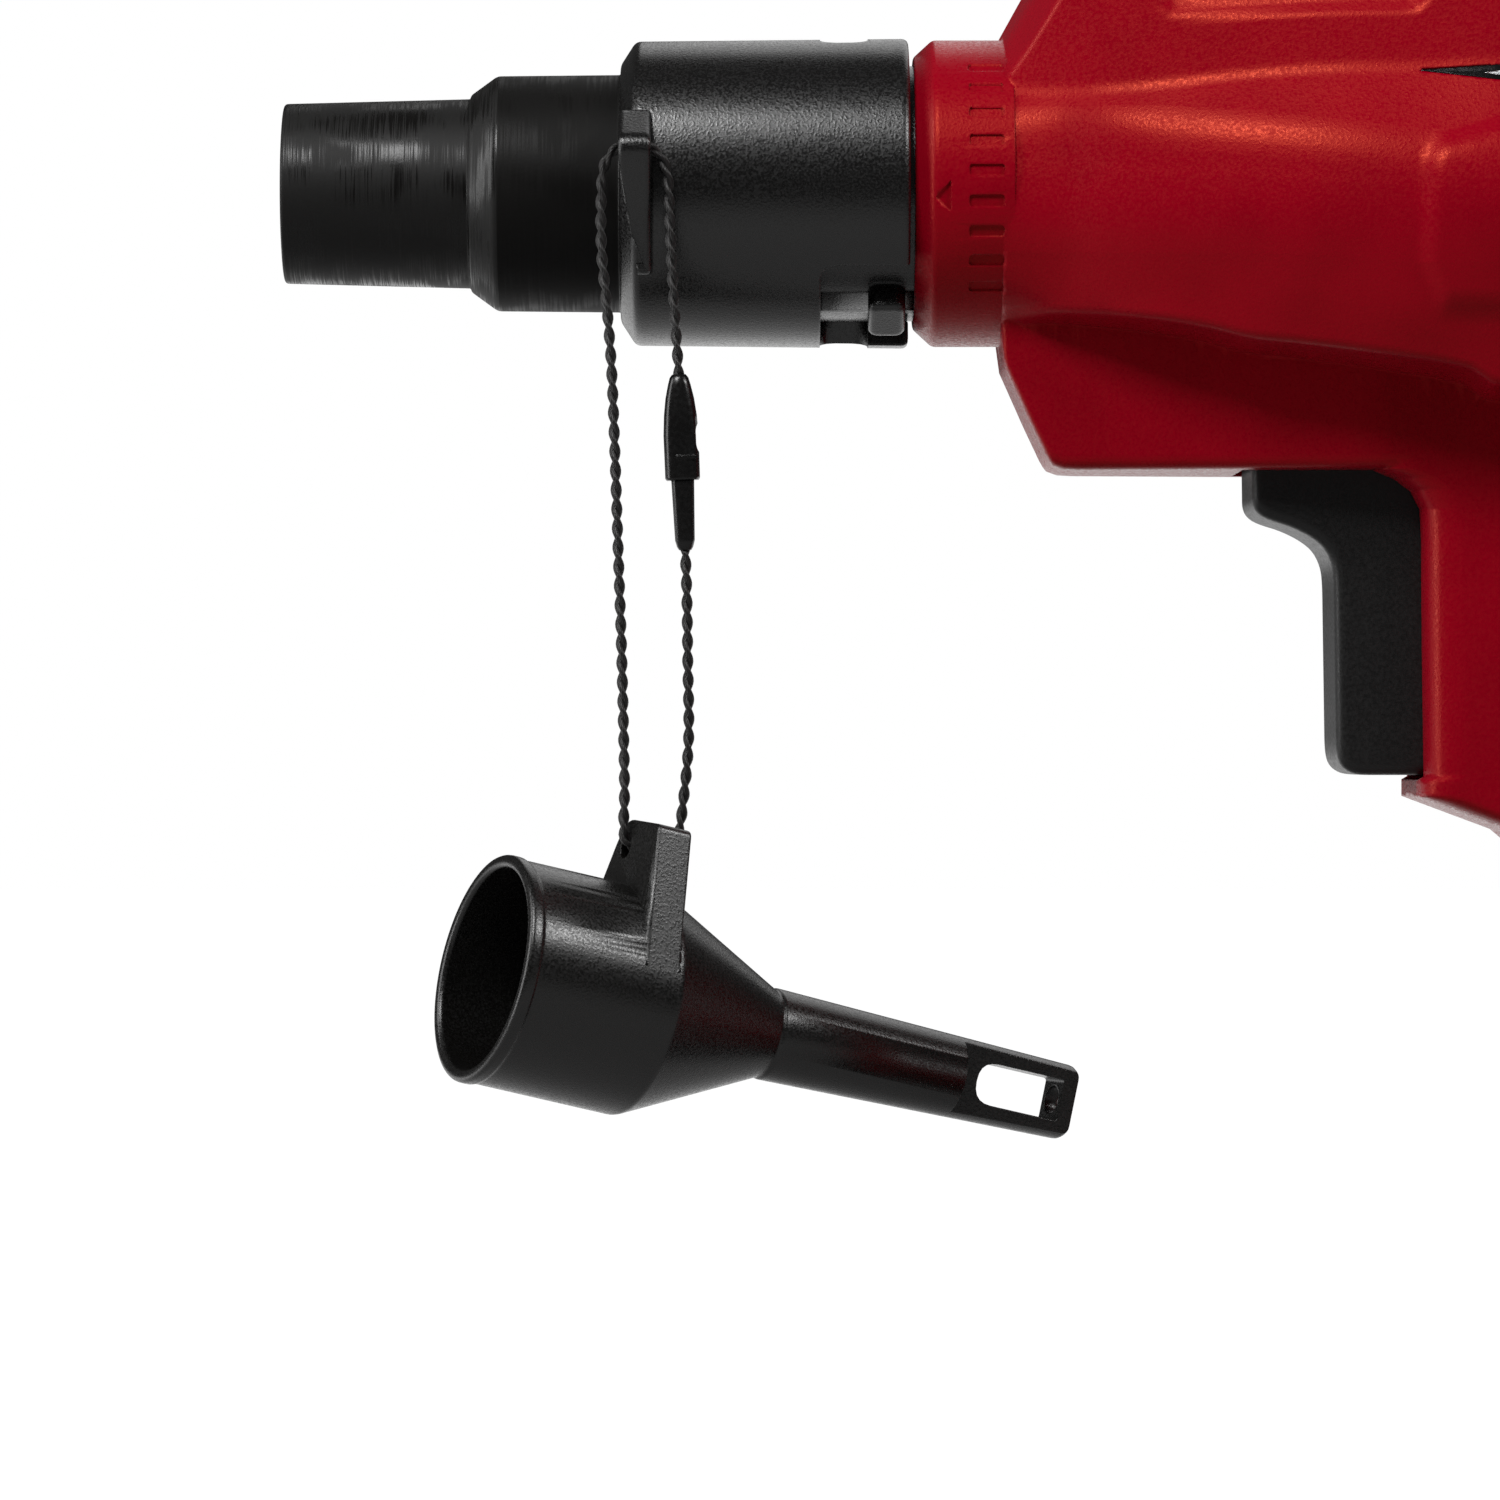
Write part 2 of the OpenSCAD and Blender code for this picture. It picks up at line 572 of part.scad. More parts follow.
// Valve adapter along +X from its mouth
module valve_adapter() {
  lug_x = cup_len - lug_t;
  t = [sin(lug_angle), cos(lug_angle)];
  e = [cos(lug_angle), -sin(lug_angle)];
  foot = cup_r * [-cos(lug_angle), sin(lug_angle)];
  tip = foot + 17 * t;
  hole = tip + 2.6 * e - 2.6 * t;
  total = cup_len + cone_len + stem_len;
  color(colors_black) translate(valve_at) rotate([0, valve_pitch, valve_yaw]) difference() {
    union() {
      rotate([0, 90, 0]) rotate([0, 0, 180]) rotate_extrude() polygon([[cup_r - cup_wall, 0],
        [cup_r - 0.4, 0], [cup_r, 0.5], [cup_r, cup_len], [stem_root_r, cup_len + cone_len],
        [stem_tip_r, total - 0.8], [stem_tip_r - 0.8, total], [1.8, total], [2.2, cup_len + cone_len],
        [cup_r - 2.6, cup_len - 1]]);
      translate([lug_x, 0, 0]) rotate([90, 0, 90]) linear_extrude(lug_t)
        polygon([foot, tip - 1.2 * t, tip + 1.2 * e, tip + 4.3 * e, [6.5, 12.5], [0, 12.4], [-9, 9]]);
    }
    translate([total - 2 - window_len, 0, 0]) rotate([90, 0, 0]) {
      translate([window_h / 2, 0, -10]) cylinder(h = 20, r = window_h / 2);
      translate([window_h / 2, -window_h / 2, -10]) cube([window_len - window_h / 2, window_h, 20]);
    }
    translate([lug_x - 1, hole[0], hole[1]]) rotate([0, 90, 0]) cylinder(h = lug_t + 2, r = cord_hole_r);
  }
}

module trigger() {
  color(colors_black) difference() {
    across(trigger_side, -trigger_w / 2, trigger_w / 2);
    along_x(trigger_back - 4, trigger_back + 1, 4, 0, -52);
  }
}
module trigger_spring() {
  color("#9a9c9e") translate([trigger_back - 3.6, 0, axis_z - 52]) rotate([0, 90, 0])
    sweep(coil(3, switch_x - trigger_back + 2.9, 5), 0.4, 6);
}
module switch_module() {
  color("#2b2b2d") {
    block(switch_x, -26, -9, 9, axis_z - 70, axis_z - 40);
    block(-40, -34, -3, 3, axis_z - 40.5, axis_z - 36);
  }
}
module badge(side) {
  color("#101012") skin_patch(badge_outline, 0, 1.2, side);
}
module badge_left() {
  badge(-1);
}
module badge_right() {
  badge(1);
}
module grip_pad() {
  color("#232325") intersection() {
    across(pad_outline, -20, 20);
    difference() {
      grip_form(0);
      grip_form(1.2);
    }
  }
}

module fan_duct() {
  color("#3a3a3c") about_axis([[duct_front_x, spigot_r + 1.6], [-80, duct_r], [-58, duct_r],
    [-58, 11], [-60, 11], [-60, duct_r - 2], [-80, duct_r - 2], [duct_front_x, spigot_r - 0.4]]);
}
module fan_impeller() {
  blade_mid = (fan_r + 4) / 2;
  blade_bend = (fan_r - 4) / 2 - 0.2;
  color("#c9ccd0") {
    difference() {
      union() {
        along_x(fan_x, -62.5, 5);
        along_x(fan_x, fan_x + 1.5, fan_r);
      }
      along_x(fan_x - 1, -60, shaft_r);
    }
    difference() {
      along_x(-63.5, -62, fan_r);
      along_x(-64, -61, 11);
    }
    for (k = [0 : fan_blades - 1]) translate([0, 0, axis_z]) rotate([k * 360 / fan_blades, 0, 0])
      forward(concat(arc(0, blade_mid, blade_bend, -75, 60, 8),
        arc(0, blade_mid, blade_bend - 0.8, 60, -75, 8)), fan_x + 1, -63, 0);
  }
}
module motor_mount() {
  color("#242426") {
    difference() {
      along_x(-53.6, motor_x, 17.5);
      along_x(-54, motor_x + 1, 12);
    }
    for (k = [0 : 2]) translate([0, 0, axis_z]) rotate([120 * k + 30, 0, 0]) translate([-58, 0, 15])
      rotate([0, 90, 0]) cylinder(h = 5, r = 2.2);
  }
}
module motor_can() {
  color("#a9adb2") difference() {
    along_x(motor_x, motor_back, motor_r);
    along_x(motor_x + 2, motor_back - 2, motor_r - 1.6);
    along_x(motor_x - 1, motor_back + 1, 4.02);
  }
}
module motor_magnets() {
  out_r = motor_r - 1.62;
  in_r = motor_r - 5.6;
  color("#55565a") for (a = [0, 180])
    forward(concat(arc(0, 0, out_r, a - 65, a + 65, 20), arc(0, 0, in_r, a + 65, a - 65, 20)),
      motor_x + 5, motor_back - 5);
}
module motor_armature() {
  color("#b87333") {
    along_x(motor_x + 5, motor_back - 6, 11.6);
    along_x(fan_x - 3, gear_x + gear_t + 1, shaft_r - 0.02);
  }
}
module motor_bearings() {
  color("#c4c7cb") for (x = [motor_x, motor_back - 2]) difference() {
    along_x(x, x + 2, 4);
    along_x(x - 1, x + 3, shaft_r + 0.02);
  }
}
module pinion() {
  color("#c9a24a") difference() {
    forward(gear_outline(pinion_teeth, 90 + 180 / pinion_teeth), gear_x, gear_x + gear_t);
    along_x(gear_x - 1, gear_x + gear_t + 1, shaft_r);
  }
}
module crankcase() {
  color("#9fa3a7") difference() {
    union() {
      block(motor_back + 0.02, gear_x - 0.4, -16, 16, axis_z - 21, axis_z + 24);
      for (side = [-1, 1])
        block(gear_x - 1, cylinder_x + cylinder_r, side * 14 - 1.5, side * 14 + 1.5, axis_z - 21, axis_z - 6);
    }
    along_x(motor_back - 1, gear_x, 5);
    along_x(motor_back - 1, gear_x, 2.5, 0, gear_z);
    translate([cylinder_x, 0, axis_z - 22]) cylinder(h = 20, r = cylinder_r + 0.05);
  }
}
module crank_axle() {
  color("#c4c7cb") {
    along_x(motor_back + 0.1, gear_x + gear_t - 1.2, 2.48, 0, gear_z);
  }
}
module crank_gear() {
  color("#d8d2c0") {
    difference() {
      translate([0, 0, gear_z]) forward(gear_outline(gear_teeth, -90), gear_x, gear_x + gear_t);
      along_x(gear_x - 1, gear_x + gear_t - 1, 2.52, 0, gear_z);
    }
    along_x(gear_x + gear_t - eps, rod_x - 0.3, 2, 0, gear_z - crank_throw);
  }
}
module cylinder_shape(r, z0, z1) {
  translate([cylinder_x, 0, axis_z + z0]) cylinder(h = z1 - z0, r = r);
}
module cylinder_body() {
  color("#b4b8bc") difference() {
    union() {
      cylinder_shape(cylinder_r, deck_z, -5);
      block(cylinder_x - cylinder_r, cylinder_x + cylinder_r, -15.5, 15.5, axis_z + deck_z, axis_z - 21);
    }
    cylinder_shape(bore_r, deck_z - 1, 0);
  }
}
module head_gasket() {
  color("#7a3b2a") difference() {
    block(cylinder_x - cylinder_r, cylinder_x + cylinder_r, -15.5, 15.5, axis_z + deck_z - 0.6, axis_z + deck_z);
    cylinder_shape(bore_r - 1, deck_z - 1, 0);
  }
}
module cylinder_head() {
  head_top = deck_z - 0.6;
  color("#b4b8bc") difference() {
    block(cylinder_x - cylinder_r, cylinder_x + cylinder_r, -15.5, 15.5, axis_z - 31.4, axis_z + head_top);
    cylinder_shape(7, head_top - 2, head_top + 1);
    along_y(-1, 16, 1.5, cylinder_x, head_top - 3);
  }
}
module hose_port() {
  color("#c9a24a") difference() {
    union() {
      along_y(15.52, 31, port_r, cylinder_x, port_z);
      along_y(port_collar_y, 31, port_r + 0.9, cylinder_x, port_z);
    }
    along_y(22, 32, port_bore_r, cylinder_x, port_z);
    along_y(15, 23, 1.5, cylinder_x, port_z);
  }
}
module piston() {
  color("#c6c9cc") difference() {
    union() {
      cylinder_shape(bore_r - 0.4, wrist_z - 3.4, wrist_z - 1.6);
      cylinder_shape(bore_r - 3, wrist_z - 1.7, wrist_z + 1);
      block(rod_x, rod_x + rod_t, -2.6, 2.6, axis_z + wrist_z, axis_z + wrist_z + rod_len - 3);
      along_x(rod_x, rod_x + rod_t, 4.4, 0, wrist_z + rod_len);
    }
    along_x(rod_x - 1, rod_x + rod_t + 1, 2.1, 0, wrist_z + rod_len);
  }
}
module piston_seal() {
  color("#1a1a1a") difference() {
    cylinder_shape(bore_r - 0.05, wrist_z - 1.6, wrist_z - 0.6);
    cylinder_shape(bore_r - 3, wrist_z - 2, wrist_z);
  }
}

module intake_spigot() {
  flange_x = barrel_back - 4.6;
  color(colors_black) {
    about_axis([[flange_x, spigot_r - spigot_wall], [flange_x, spigot_r + 1.8], [flange_x + 2, spigot_r + 1.8],
      [flange_x + 2, spigot_r], [barrel_back + 8.5, spigot_r], [barrel_back + 8.5, spigot_r + 0.2],
      [barrel_back + 14.2, spigot_r + 0.2], [barrel_back + 14.2, spigot_r], [intake_end_x - 0.6, spigot_r],
      [intake_end_x, spigot_r - 0.6], [intake_end_x, spigot_r - spigot_wall]]);
    bayonet_pins(barrel_back + 8.1, barrel_back + 8.1 + pin_len);
  }
}
module intake_grille() {
  in_r = spigot_r - spigot_wall - 0.05;
  color("#1b1b1d") {
    difference() {
      along_x(21, 24, in_r);
      along_x(20, 25, in_r - 1.4);
    }
    along_x(21, 24, 3);
    for (k = [0 : 5]) translate([0, 0, axis_z]) rotate([60 * k, 0, 0]) translate([21.4, -0.6, 2])
      cube([2.2, 1.2, in_r - 3]);
  }
}
module circuit_board() {
  color("#1f5a33") {
    block(-58, -5, 14 - barrel_hw, barrel_hw - 14, axis_z + board_z, axis_z + board_z + 1.6);
    block(-56, -54, -8, 8, axis_z + board_z - 4, axis_z + board_z + eps);
    for (y = [-12, 12])
      translate([-24, y, axis_z + board_z - 5]) cylinder(h = 5 + eps, r = 3);
  }
}
module lcd_display() {
  color("#2f3b33") block(lens_x - lens_len / 2 + 1, lens_x + lens_len / 2 - 1, -lens_w / 2 + 1, lens_w / 2 - 1,
    axis_z + board_z + 1.6, axis_z + barrel_top - 2);
}
module display_lens() {
  color("#0b0c0e") block(lens_x - lens_len / 2, lens_x + lens_len / 2, -lens_w / 2, lens_w / 2,
    axis_z + barrel_top - 1.9, axis_z + barrel_top - 0.3);
}
module button(k) {
  low = axis_z + board_z + 1.6 + button_travel + 0.1;
  color("#28282b") {
    translate([button_x, k * button_pitch, low])
      cylinder(h = axis_z + barrel_top + 1 - low, r = button_r);
  }
}
module minus_button() {
  button(-1);
}
module mode_button() {
  button(0);
}
module plus_button() {
  button(1);
}

module terminal_block() {
  color("#1c1c1e") difference() {
    block(tongue_x1 + 2, terminal_x1, -20, 20, foot_bottom + 0.6, tongue_top);
    for (y = blade_y)
      block(tongue_x1 + 1, terminal_x1 - 1.6, y - 0.4, y + 0.4, foot_bottom + 2, foot_bottom + 6);
  }
}
module terminal_blades() {
  color("#c98f4a") for (y = blade_y)
    block(contact_x + 1, terminal_x1 - 1.6, y - 0.4, y + 0.4, foot_bottom + 2, foot_bottom + 6);
}
module at_pack_bosses() {
  for (x = [-1, 1], y = [-1, 1])
    translate([pack_x + x * pack_boss[0], y * pack_boss[1], 0]) children();
}
module pack_plan(i) {
  polygon(rounded(pack_x0 + i, pack_x1 - i, i - pack_w / 2, pack_w / 2 - i, 8 - i));
}
module release_pocket(i) {
  block(pack_x0 - 1, pack_x0 + pocket_x + i, -release_hw - 0.4 - i, release_hw + 0.4 + i,
    release_seat - i, pack_top + 2);
}
module battery_case_lower() {
  color("#232325") difference() {
    linear_extrude(pack_low_h) pack_plan(0);
    difference() {
      translate([0, 0, pack_wall]) linear_extrude(pack_low_h) pack_plan(pack_wall);
      release_pocket(1.4);
      at_pack_bosses() cylinder(h = pack_low_h, r = pack_boss_r);
    }
    release_pocket(0);
    at_pack_bosses() {
      translate([0, 0, -1]) cylinder(h = 60, r = 1.3);
      translate([0, 0, -1]) cylinder(h = 5, r = 2.2);
    }
  }
}
module battery_case_upper() {
  color("#232325") difference() {
    union() {
      translate([0, 0, pack_low_h]) linear_extrude(pack_top - pack_low_h) pack_plan(0);
      block(tongue_x0, tongue_x1, -tongue_neck_hw, tongue_neck_hw, pack_top - eps, tongue_top);
      block(tongue_x0, tongue_x1, -tongue_hw, tongue_hw, lip_z, tongue_top);
    }
    difference() {
      translate([0, 0, pack_low_h - 1]) linear_extrude(pack_top - pack_low_h - 1.2) pack_plan(pack_wall);
      release_pocket(1.4);
      at_pack_bosses() cylinder(h = pack_top, r = pack_boss_r);
    }
    release_pocket(0);
    at_pack_bosses() translate([0, 0, pack_low_h - 1]) cylinder(h = 8, r = 1.1);
    for (y = blade_y)
      block(contact_x, tongue_x1 + 1, y - 0.9, y + 0.9, foot_bottom + 1.4, foot_bottom + 6.6);
  }
}
module battery_cells() {
  color("#2f6fb0") for (x = cells_x, z = cells_z)
    translate([x, -cell_len / 2, z]) rotate([-90, 0, 0]) cylinder(h = cell_len, r = cell_r);
}
module cell_holders() {
  color("#d9d9d4") for (side = [-1, 1]) difference() {
    block(cells_x[0] - cell_r - 0.5, cells_x[4] + cell_r + 0.5, min(side * (holder_out - holder_t), side * holder_out),
      max(side * (holder_out - holder_t), side * holder_out), pack_wall, holder_top);
    at_pack_bosses() cylinder(h = pack_top, r = pack_boss_r + 0.4);
    for (x = cells_x, z = cells_z)
      translate([x, -cell_len / 2 - 0.05, z]) rotate([-90, 0, 0]) cylinder(h = cell_len + 0.1, r = cell_r + 0.05);
  }
}
module battery_board() {
  color("#1f5a33") {
    block(pack_x - 30, pack_x + 44, -board_hw, board_hw, board_low, board_low + board_t);
    for (y = blade_y, side = [-1, 1])
      block(contact_x, contact_x + 6, y + side * 1.4 - 0.3, y + side * 1.4 + 0.3, board_low + board_t - eps, foot_bottom - 3);
    for (x = [-20, 34], side = [-1, 1])
      translate([pack_x + x, side * (holder_out - 2.5), holder_top + 0.02]) cylinder(h = 1, r = 1.5);
  }
}
module battery_screws() {
  color("#8a8c90") at_pack_bosses() {
    translate([0, 0, 2]) cylinder(h = 2, r = 2.1);
    translate([0, 0, 3.98]) cylinder(h = pack_low_h + 2, r = 1.05);
  }
}
module release_button() {
  x0 = pack_x0 + 0.3;
  color("#8d1020") {
    block(x0, x0 + 3.6, -release_hw, release_hw, release_low, pack_top - 3);
    block(x0 + 1.6, x0 + 3.6, -6, 6, pack_top - 3 - eps, pack_top);
    for (z = [42, 45, 48])
      block(x0 - 0.25, x0 + eps, -9, 9, z, z + 1);
  }
}
module latch_spring() {
  color("#9a9c9e") translate([pack_x0 + 2.1, 0, release_seat + 0.4])
    sweep(coil(1.4, release_low - release_seat - 0.8, 3), 0.35, 6);
}

housing_left();
housing_right();
housing_screws();
outlet_spigot();
spigot_seal();
nozzle_adapter();
tether_cord();
clasp_socket();
clasp_plug();
valve_adapter();
trigger();
trigger_spring();
switch_module();
badge_left();
badge_right();
grip_pad();
fan_duct();
fan_impeller();
motor_mount();
motor_can();
motor_magnets();
motor_armature();
motor_bearings();
pinion();
crankcase();
crank_axle();
crank_gear();
cylinder_body();  // cylinder
head_gasket();
cylinder_head();
piston();
piston_seal();
hose_port();
intake_spigot();
intake_grille();
circuit_board();
lcd_display();
display_lens();
minus_button();
mode_button();
plus_button();
terminal_block();
terminal_blades();
battery_case_lower();
battery_case_upper();
battery_cells();
cell_holders();
battery_board();
battery_screws();
release_button();
latch_spring();
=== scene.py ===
import math

import bmesh
import bpy
import numpy as np
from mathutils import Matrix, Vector


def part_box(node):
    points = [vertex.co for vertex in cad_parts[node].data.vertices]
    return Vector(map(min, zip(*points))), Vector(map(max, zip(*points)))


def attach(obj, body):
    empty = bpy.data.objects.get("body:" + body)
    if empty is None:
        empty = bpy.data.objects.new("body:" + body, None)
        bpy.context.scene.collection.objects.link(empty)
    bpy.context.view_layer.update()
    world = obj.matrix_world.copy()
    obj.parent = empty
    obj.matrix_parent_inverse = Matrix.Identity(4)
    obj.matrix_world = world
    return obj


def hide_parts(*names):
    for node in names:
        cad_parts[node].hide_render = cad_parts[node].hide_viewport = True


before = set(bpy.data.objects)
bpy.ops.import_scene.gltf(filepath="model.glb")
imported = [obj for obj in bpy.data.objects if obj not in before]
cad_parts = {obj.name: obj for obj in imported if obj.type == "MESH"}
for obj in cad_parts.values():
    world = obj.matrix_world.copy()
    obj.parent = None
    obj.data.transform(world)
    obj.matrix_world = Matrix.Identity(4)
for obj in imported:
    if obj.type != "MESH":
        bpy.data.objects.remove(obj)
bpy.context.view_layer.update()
scene = bpy.context.scene
scene.view_settings.view_transform = "Standard"
MM = 0.001
AXIS = 203.0  # height of the air axis above the table, mm


# ---------------------------------------------------------------------------
# Camera: a long lens, level, square to the side of the tool and 0.9 m away from its mid-plane.
# ---------------------------------------------------------------------------
view_centre = (-147.5, 133.5)
view_width = 187.5
view_distance = 900.0
sensor_width = 36.0
camera = bpy.data.objects.new("camera", bpy.data.cameras.new("camera"))
camera.data.sensor_width = sensor_width
camera.data.lens = sensor_width * view_distance / view_width
camera.location = (view_centre[0] * MM, -view_distance * MM, view_centre[1] * MM)
camera.rotation_euler = (math.pi / 2, 0, 0)
scene.collection.objects.link(camera)
scene.camera = camera


# ---------------------------------------------------------------------------
# Tether cord: a black two-ply polyester cord, 1.5 mm across the twist, that hangs in a loop from
# the wing of the nozzle adapter, carries the valve adapter, and is closed by a break-away clasp.
# ---------------------------------------------------------------------------
def through(points, step):
    """A smooth line through the points: on each span a cubic with the tangents
    (next - previous) / 2, then cut into equal lengths of about step."""
    p = np.asarray(points, float)
    p = np.vstack([2 * p[0] - p[1], p, 2 * p[-1] - p[-2]])
    a, b, c, d = (p[k : len(p) - 3 + k, None] for k in range(4))
    t = np.linspace(0, 1, 12, endpoint=False)[:, None]
    line = 2 * b + (c - a) * t + (2 * a - 5 * b + 4 * c - d) * t**2 + (3 * b - a - 3 * c + d) * t**3
    line = np.vstack([0.5 * line.reshape(-1, p.shape[1]), p[-2]])
    run = np.r_[0, np.cumsum(np.linalg.norm(np.diff(line, axis=0), axis=1))]
    even = np.linspace(0, run[-1], int(run[-1] / step) + 2)
    return np.stack([np.interp(even, run, line[:, k]) for k in range(p.shape[1])], 1), even


def grid(points, wrap_u=False, wrap_v=False, caps=False):
    """A shell of quads over an (m, n, 3) array of points; wrap joins the last row or column
    to the first, and caps closes the first and last rows with one face each."""
    m, n = points.shape[:2]
    index = np.arange(m * n).reshape(m, n)
    rows = np.vstack([index, index[:1]]) if wrap_u else index
    both = np.hstack([rows, rows[:, :1]]) if wrap_v else rows
    corners = [both[:-1, :-1], both[1:, :-1], both[1:, 1:], both[:-1, 1:]]
    faces = np.stack(corners, -1).reshape(-1, 4).tolist()
    if caps:
        faces += [index[0, ::-1].tolist(), index[-1].tolist()]
    return points.reshape(-1, 3), faces


def even_normals(piece, sharp=32):
    """Smooth shading that breaks at edges over the angle and leaves broad flat faces flat, by
    normals weighted by area."""
    piece.data.set_sharp_from_angle(angle=math.radians(sharp))
    weigh = piece.modifiers.new("weigh", "WEIGHTED_NORMAL")
    weigh.keep_sharp = True
    made = bpy.data.meshes.new_from_object(piece.evaluated_get(bpy.context.evaluated_depsgraph_get()))
    piece.modifiers.clear()
    piece.data = made
    return piece


def new_piece(name, *shells, material=None, sharp=32):
    """One object from shells of (vertices in mm, faces), with doubles merged, all faces turned
    outwards and smooth shading, except on the end faces, which are flat and cut into triangles."""
    starts = np.cumsum([0] + [len(v) for v, f in shells])
    verts = np.vstack([v for v, f in shells]) * MM
    faces = [[i + int(s) for i in face] for (v, f), s in zip(shells, starts) for face in f]
    mesh = bpy.data.meshes.new(name)
    mesh.from_pydata(verts.tolist(), [], faces)
    work = bmesh.new()
    work.from_mesh(mesh)
    bmesh.ops.remove_doubles(work, verts=work.verts, dist=2e-7)
    for face in work.faces:
        face.smooth = len(face.verts) < 5
    bmesh.ops.triangulate(work, faces=[face for face in work.faces if len(face.verts) > 4])
    bmesh.ops.recalc_face_normals(work, faces=work.faces)
    work.to_mesh(mesh)
    work.free()
    piece = bpy.data.objects.new(name, mesh)
    scene.collection.objects.link(piece)
    if material:
        mesh.materials.append(material)
        even_normals(piece, sharp)
    return piece


def linear(code):
    """sRGB hex to the linear colour that a shader takes."""
    rgb = np.array([int(code[i : i + 2], 16) for i in (1, 3, 5)]) / 255
    rgb = np.where(rgb < 0.04045, rgb / 12.92, ((rgb + 0.055) / 1.055) ** 2.4)
    return (*rgb.tolist(), 1.0)


def add(tree, kind, inputs=None, **settings):
    """One shader node with its settings; inputs gives a socket a value or links it."""
    made = tree.nodes.new(kind)
    for key, value in settings.items():
        setattr(made, key, value)
    for key, value in (inputs or {}).items():
        if isinstance(value, bpy.types.NodeSocket):
            tree.links.new(value, made.inputs[key])
        else:
            made.inputs[key].default_value = value
    return made


def new_material(name, **surface):
    """A material with its Principled shader; surface sets the shader's own sockets by name."""
    material = bpy.data.materials.new(name)
    material.use_nodes = True
    shader = material.node_tree.nodes["Principled BSDF"]
    for key, value in surface.items():
        shader.inputs[key.replace("_", " ")].default_value = value
    return material, material.node_tree, shader


def two_tone(tree, factor, dark, light, low=0.0, high=1.0):
    """A colour between two hex tones, as the factor goes from low to high."""
    tones = add(tree, "ShaderNodeValToRGB", {"Fac": factor})
    tones.color_ramp.elements[0].color = linear(dark)
    tones.color_ramp.elements[1].color = linear(light)
    tones.color_ramp.elements[0].position = low
    tones.color_ramp.elements[1].position = high
    return tones.outputs["Color"]


def per_mm(size):
    """The scale of a pattern on coordinates in metres whose feature is this many mm."""
    return 1 / (size * MM)


def ready(piece, body, slot, *nodes):
    """The piece rides on its body and hides the CAD nodes that it stands for; slot is not used."""
    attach(piece, body)
    if nodes:
        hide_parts(*nodes)


# Polyester yarn, dyed black and twisted: two plies with a soft sheen along fine fibres, which
# run at a slant. Their bundles are drawn 0.2 mm wide, about twice their size, so that they show.
cord_black, tree, shader = new_material("polyester cord, twisted", Roughness=0.42, Sheen_Weight=0.08)
plies = add(tree, "ShaderNodeUVMap", uv_map="ply")
fibres = add(tree, "ShaderNodeTexWave",
             {"Vector": plies.outputs[0], "Scale": 1.0, "Distortion": 1.5, "Detail": 2.0},
             wave_type="BANDS", bands_direction="DIAGONAL")
tree.links.new(two_tone(tree, fibres.outputs["Fac"], "#0a0909", "#211e1d"), shader.inputs["Base Color"])
bump = add(tree, "ShaderNodeBump", {"Height": fibres.outputs["Fac"], "Strength": 0.6, "Distance": 0.06 * MM})
tree.links.new(bump.outputs[0], shader.inputs["Normal"])

# Route from the clasp up through the wing, down, through the lug and up again: x, y, height
# over the air axis
cord_route = [
    [-156.2, -21, -23.7], [-156.5, -21, -19], [-156.9, -21, -13], [-157.2, -21, -7],
    [-157.4, -20.9, -2], [-157.7, -20.9, 1.3], [-158.8, -20.9, 3.4], [-160.2, -20.9, 4.3],
    [-161.6, -20.9, 4.6], [-163, -20.9, 4.3], [-164.4, -20.9, 3.4], [-165.4, -20.9, 1.4],
    [-165.7, -20.9, -3], [-165.6, -20.9, -9], [-165, -21, -15], [-164.4, -21, -23],
    [-164, -21, -33], [-163.6, -21, -45], [-163.2, -21.2, -56.5], [-162.9, -21.6, -68.3],
    [-162.8, -22.1, -74.7], [-162.9, -22.2, -78.2], [-162.8, -22.2, -80], [-161.8, -21.8, -81.4],
    [-160.1, -21.1, -82], [-158.4, -20.4, -82.3], [-157.2, -19.8, -81.6], [-156.3, -19.5, -79.9],
    [-155.7, -19.7, -76.2], [-155, -20.2, -68.3], [-155.1, -20.8, -58.5], [-155.2, -21, -51],
    [-155.4, -21, -45.1]]
ply_radius = 0.37
ply_offset = 0.33
lay_length = 4.7
facets = 10
fibres_per_facet = 0.6
fibres_per_mm = 1.2
cord_line, cord_run = through(np.array(cord_route) + [0, 0, AXIS], 0.4)
along = np.gradient(cord_line, axis=0)
along /= np.linalg.norm(along, axis=1)[:, None]
side = np.cross(along, [0.0, 1.0, 0.0])
side /= np.linalg.norm(side, axis=1)[:, None]
front = np.cross(side, along)
around = np.linspace(0, 2 * math.pi, facets, endpoint=False)[None, :, None]
strands = []
for ply in (0, 1):
    turn = 2 * math.pi * (cord_run / lay_length + ply / 2)[:, None]
    centre = cord_line + ply_offset * (np.cos(turn) * side + np.sin(turn) * front)
    ring = ply_radius * (np.cos(around) * side[:, None] + np.sin(around) * front[:, None])
    strands.append(grid(centre[:, None] + ring, wrap_v=True, caps=True))
tether_cord = new_piece("tether_cord_twisted", *strands, material=cord_black, sharp=80)
uv = tether_cord.data.uv_layers.new(name="ply")
corner = np.zeros(len(tether_cord.data.loops), int)
tether_cord.data.loops.foreach_get("vertex_index", corner)
rings = corner // facets % len(cord_line)
place = np.stack([corner % facets * fibres_per_facet, cord_run[rings] * fibres_per_mm], 1)
uv.data.foreach_set("uv", place.ravel())
ready(tether_cord, "tether", "twisted_cord", "tether_cord")


# ---------------------------------------------------------------------------
# Break-away clasp: a moulded acetal socket on the upper end of the cord and a plug on the lower
# end. The plug's tongue snaps behind a small ridge, seen through the socket's side window.
# ---------------------------------------------------------------------------
def shaded(colour, share):
    """The hex colour with its red, green and blue cut to a share."""
    return "#" + "".join(f"{int(int(colour[i : i + 2], 16) * share):02x}" for i in (1, 3, 5))


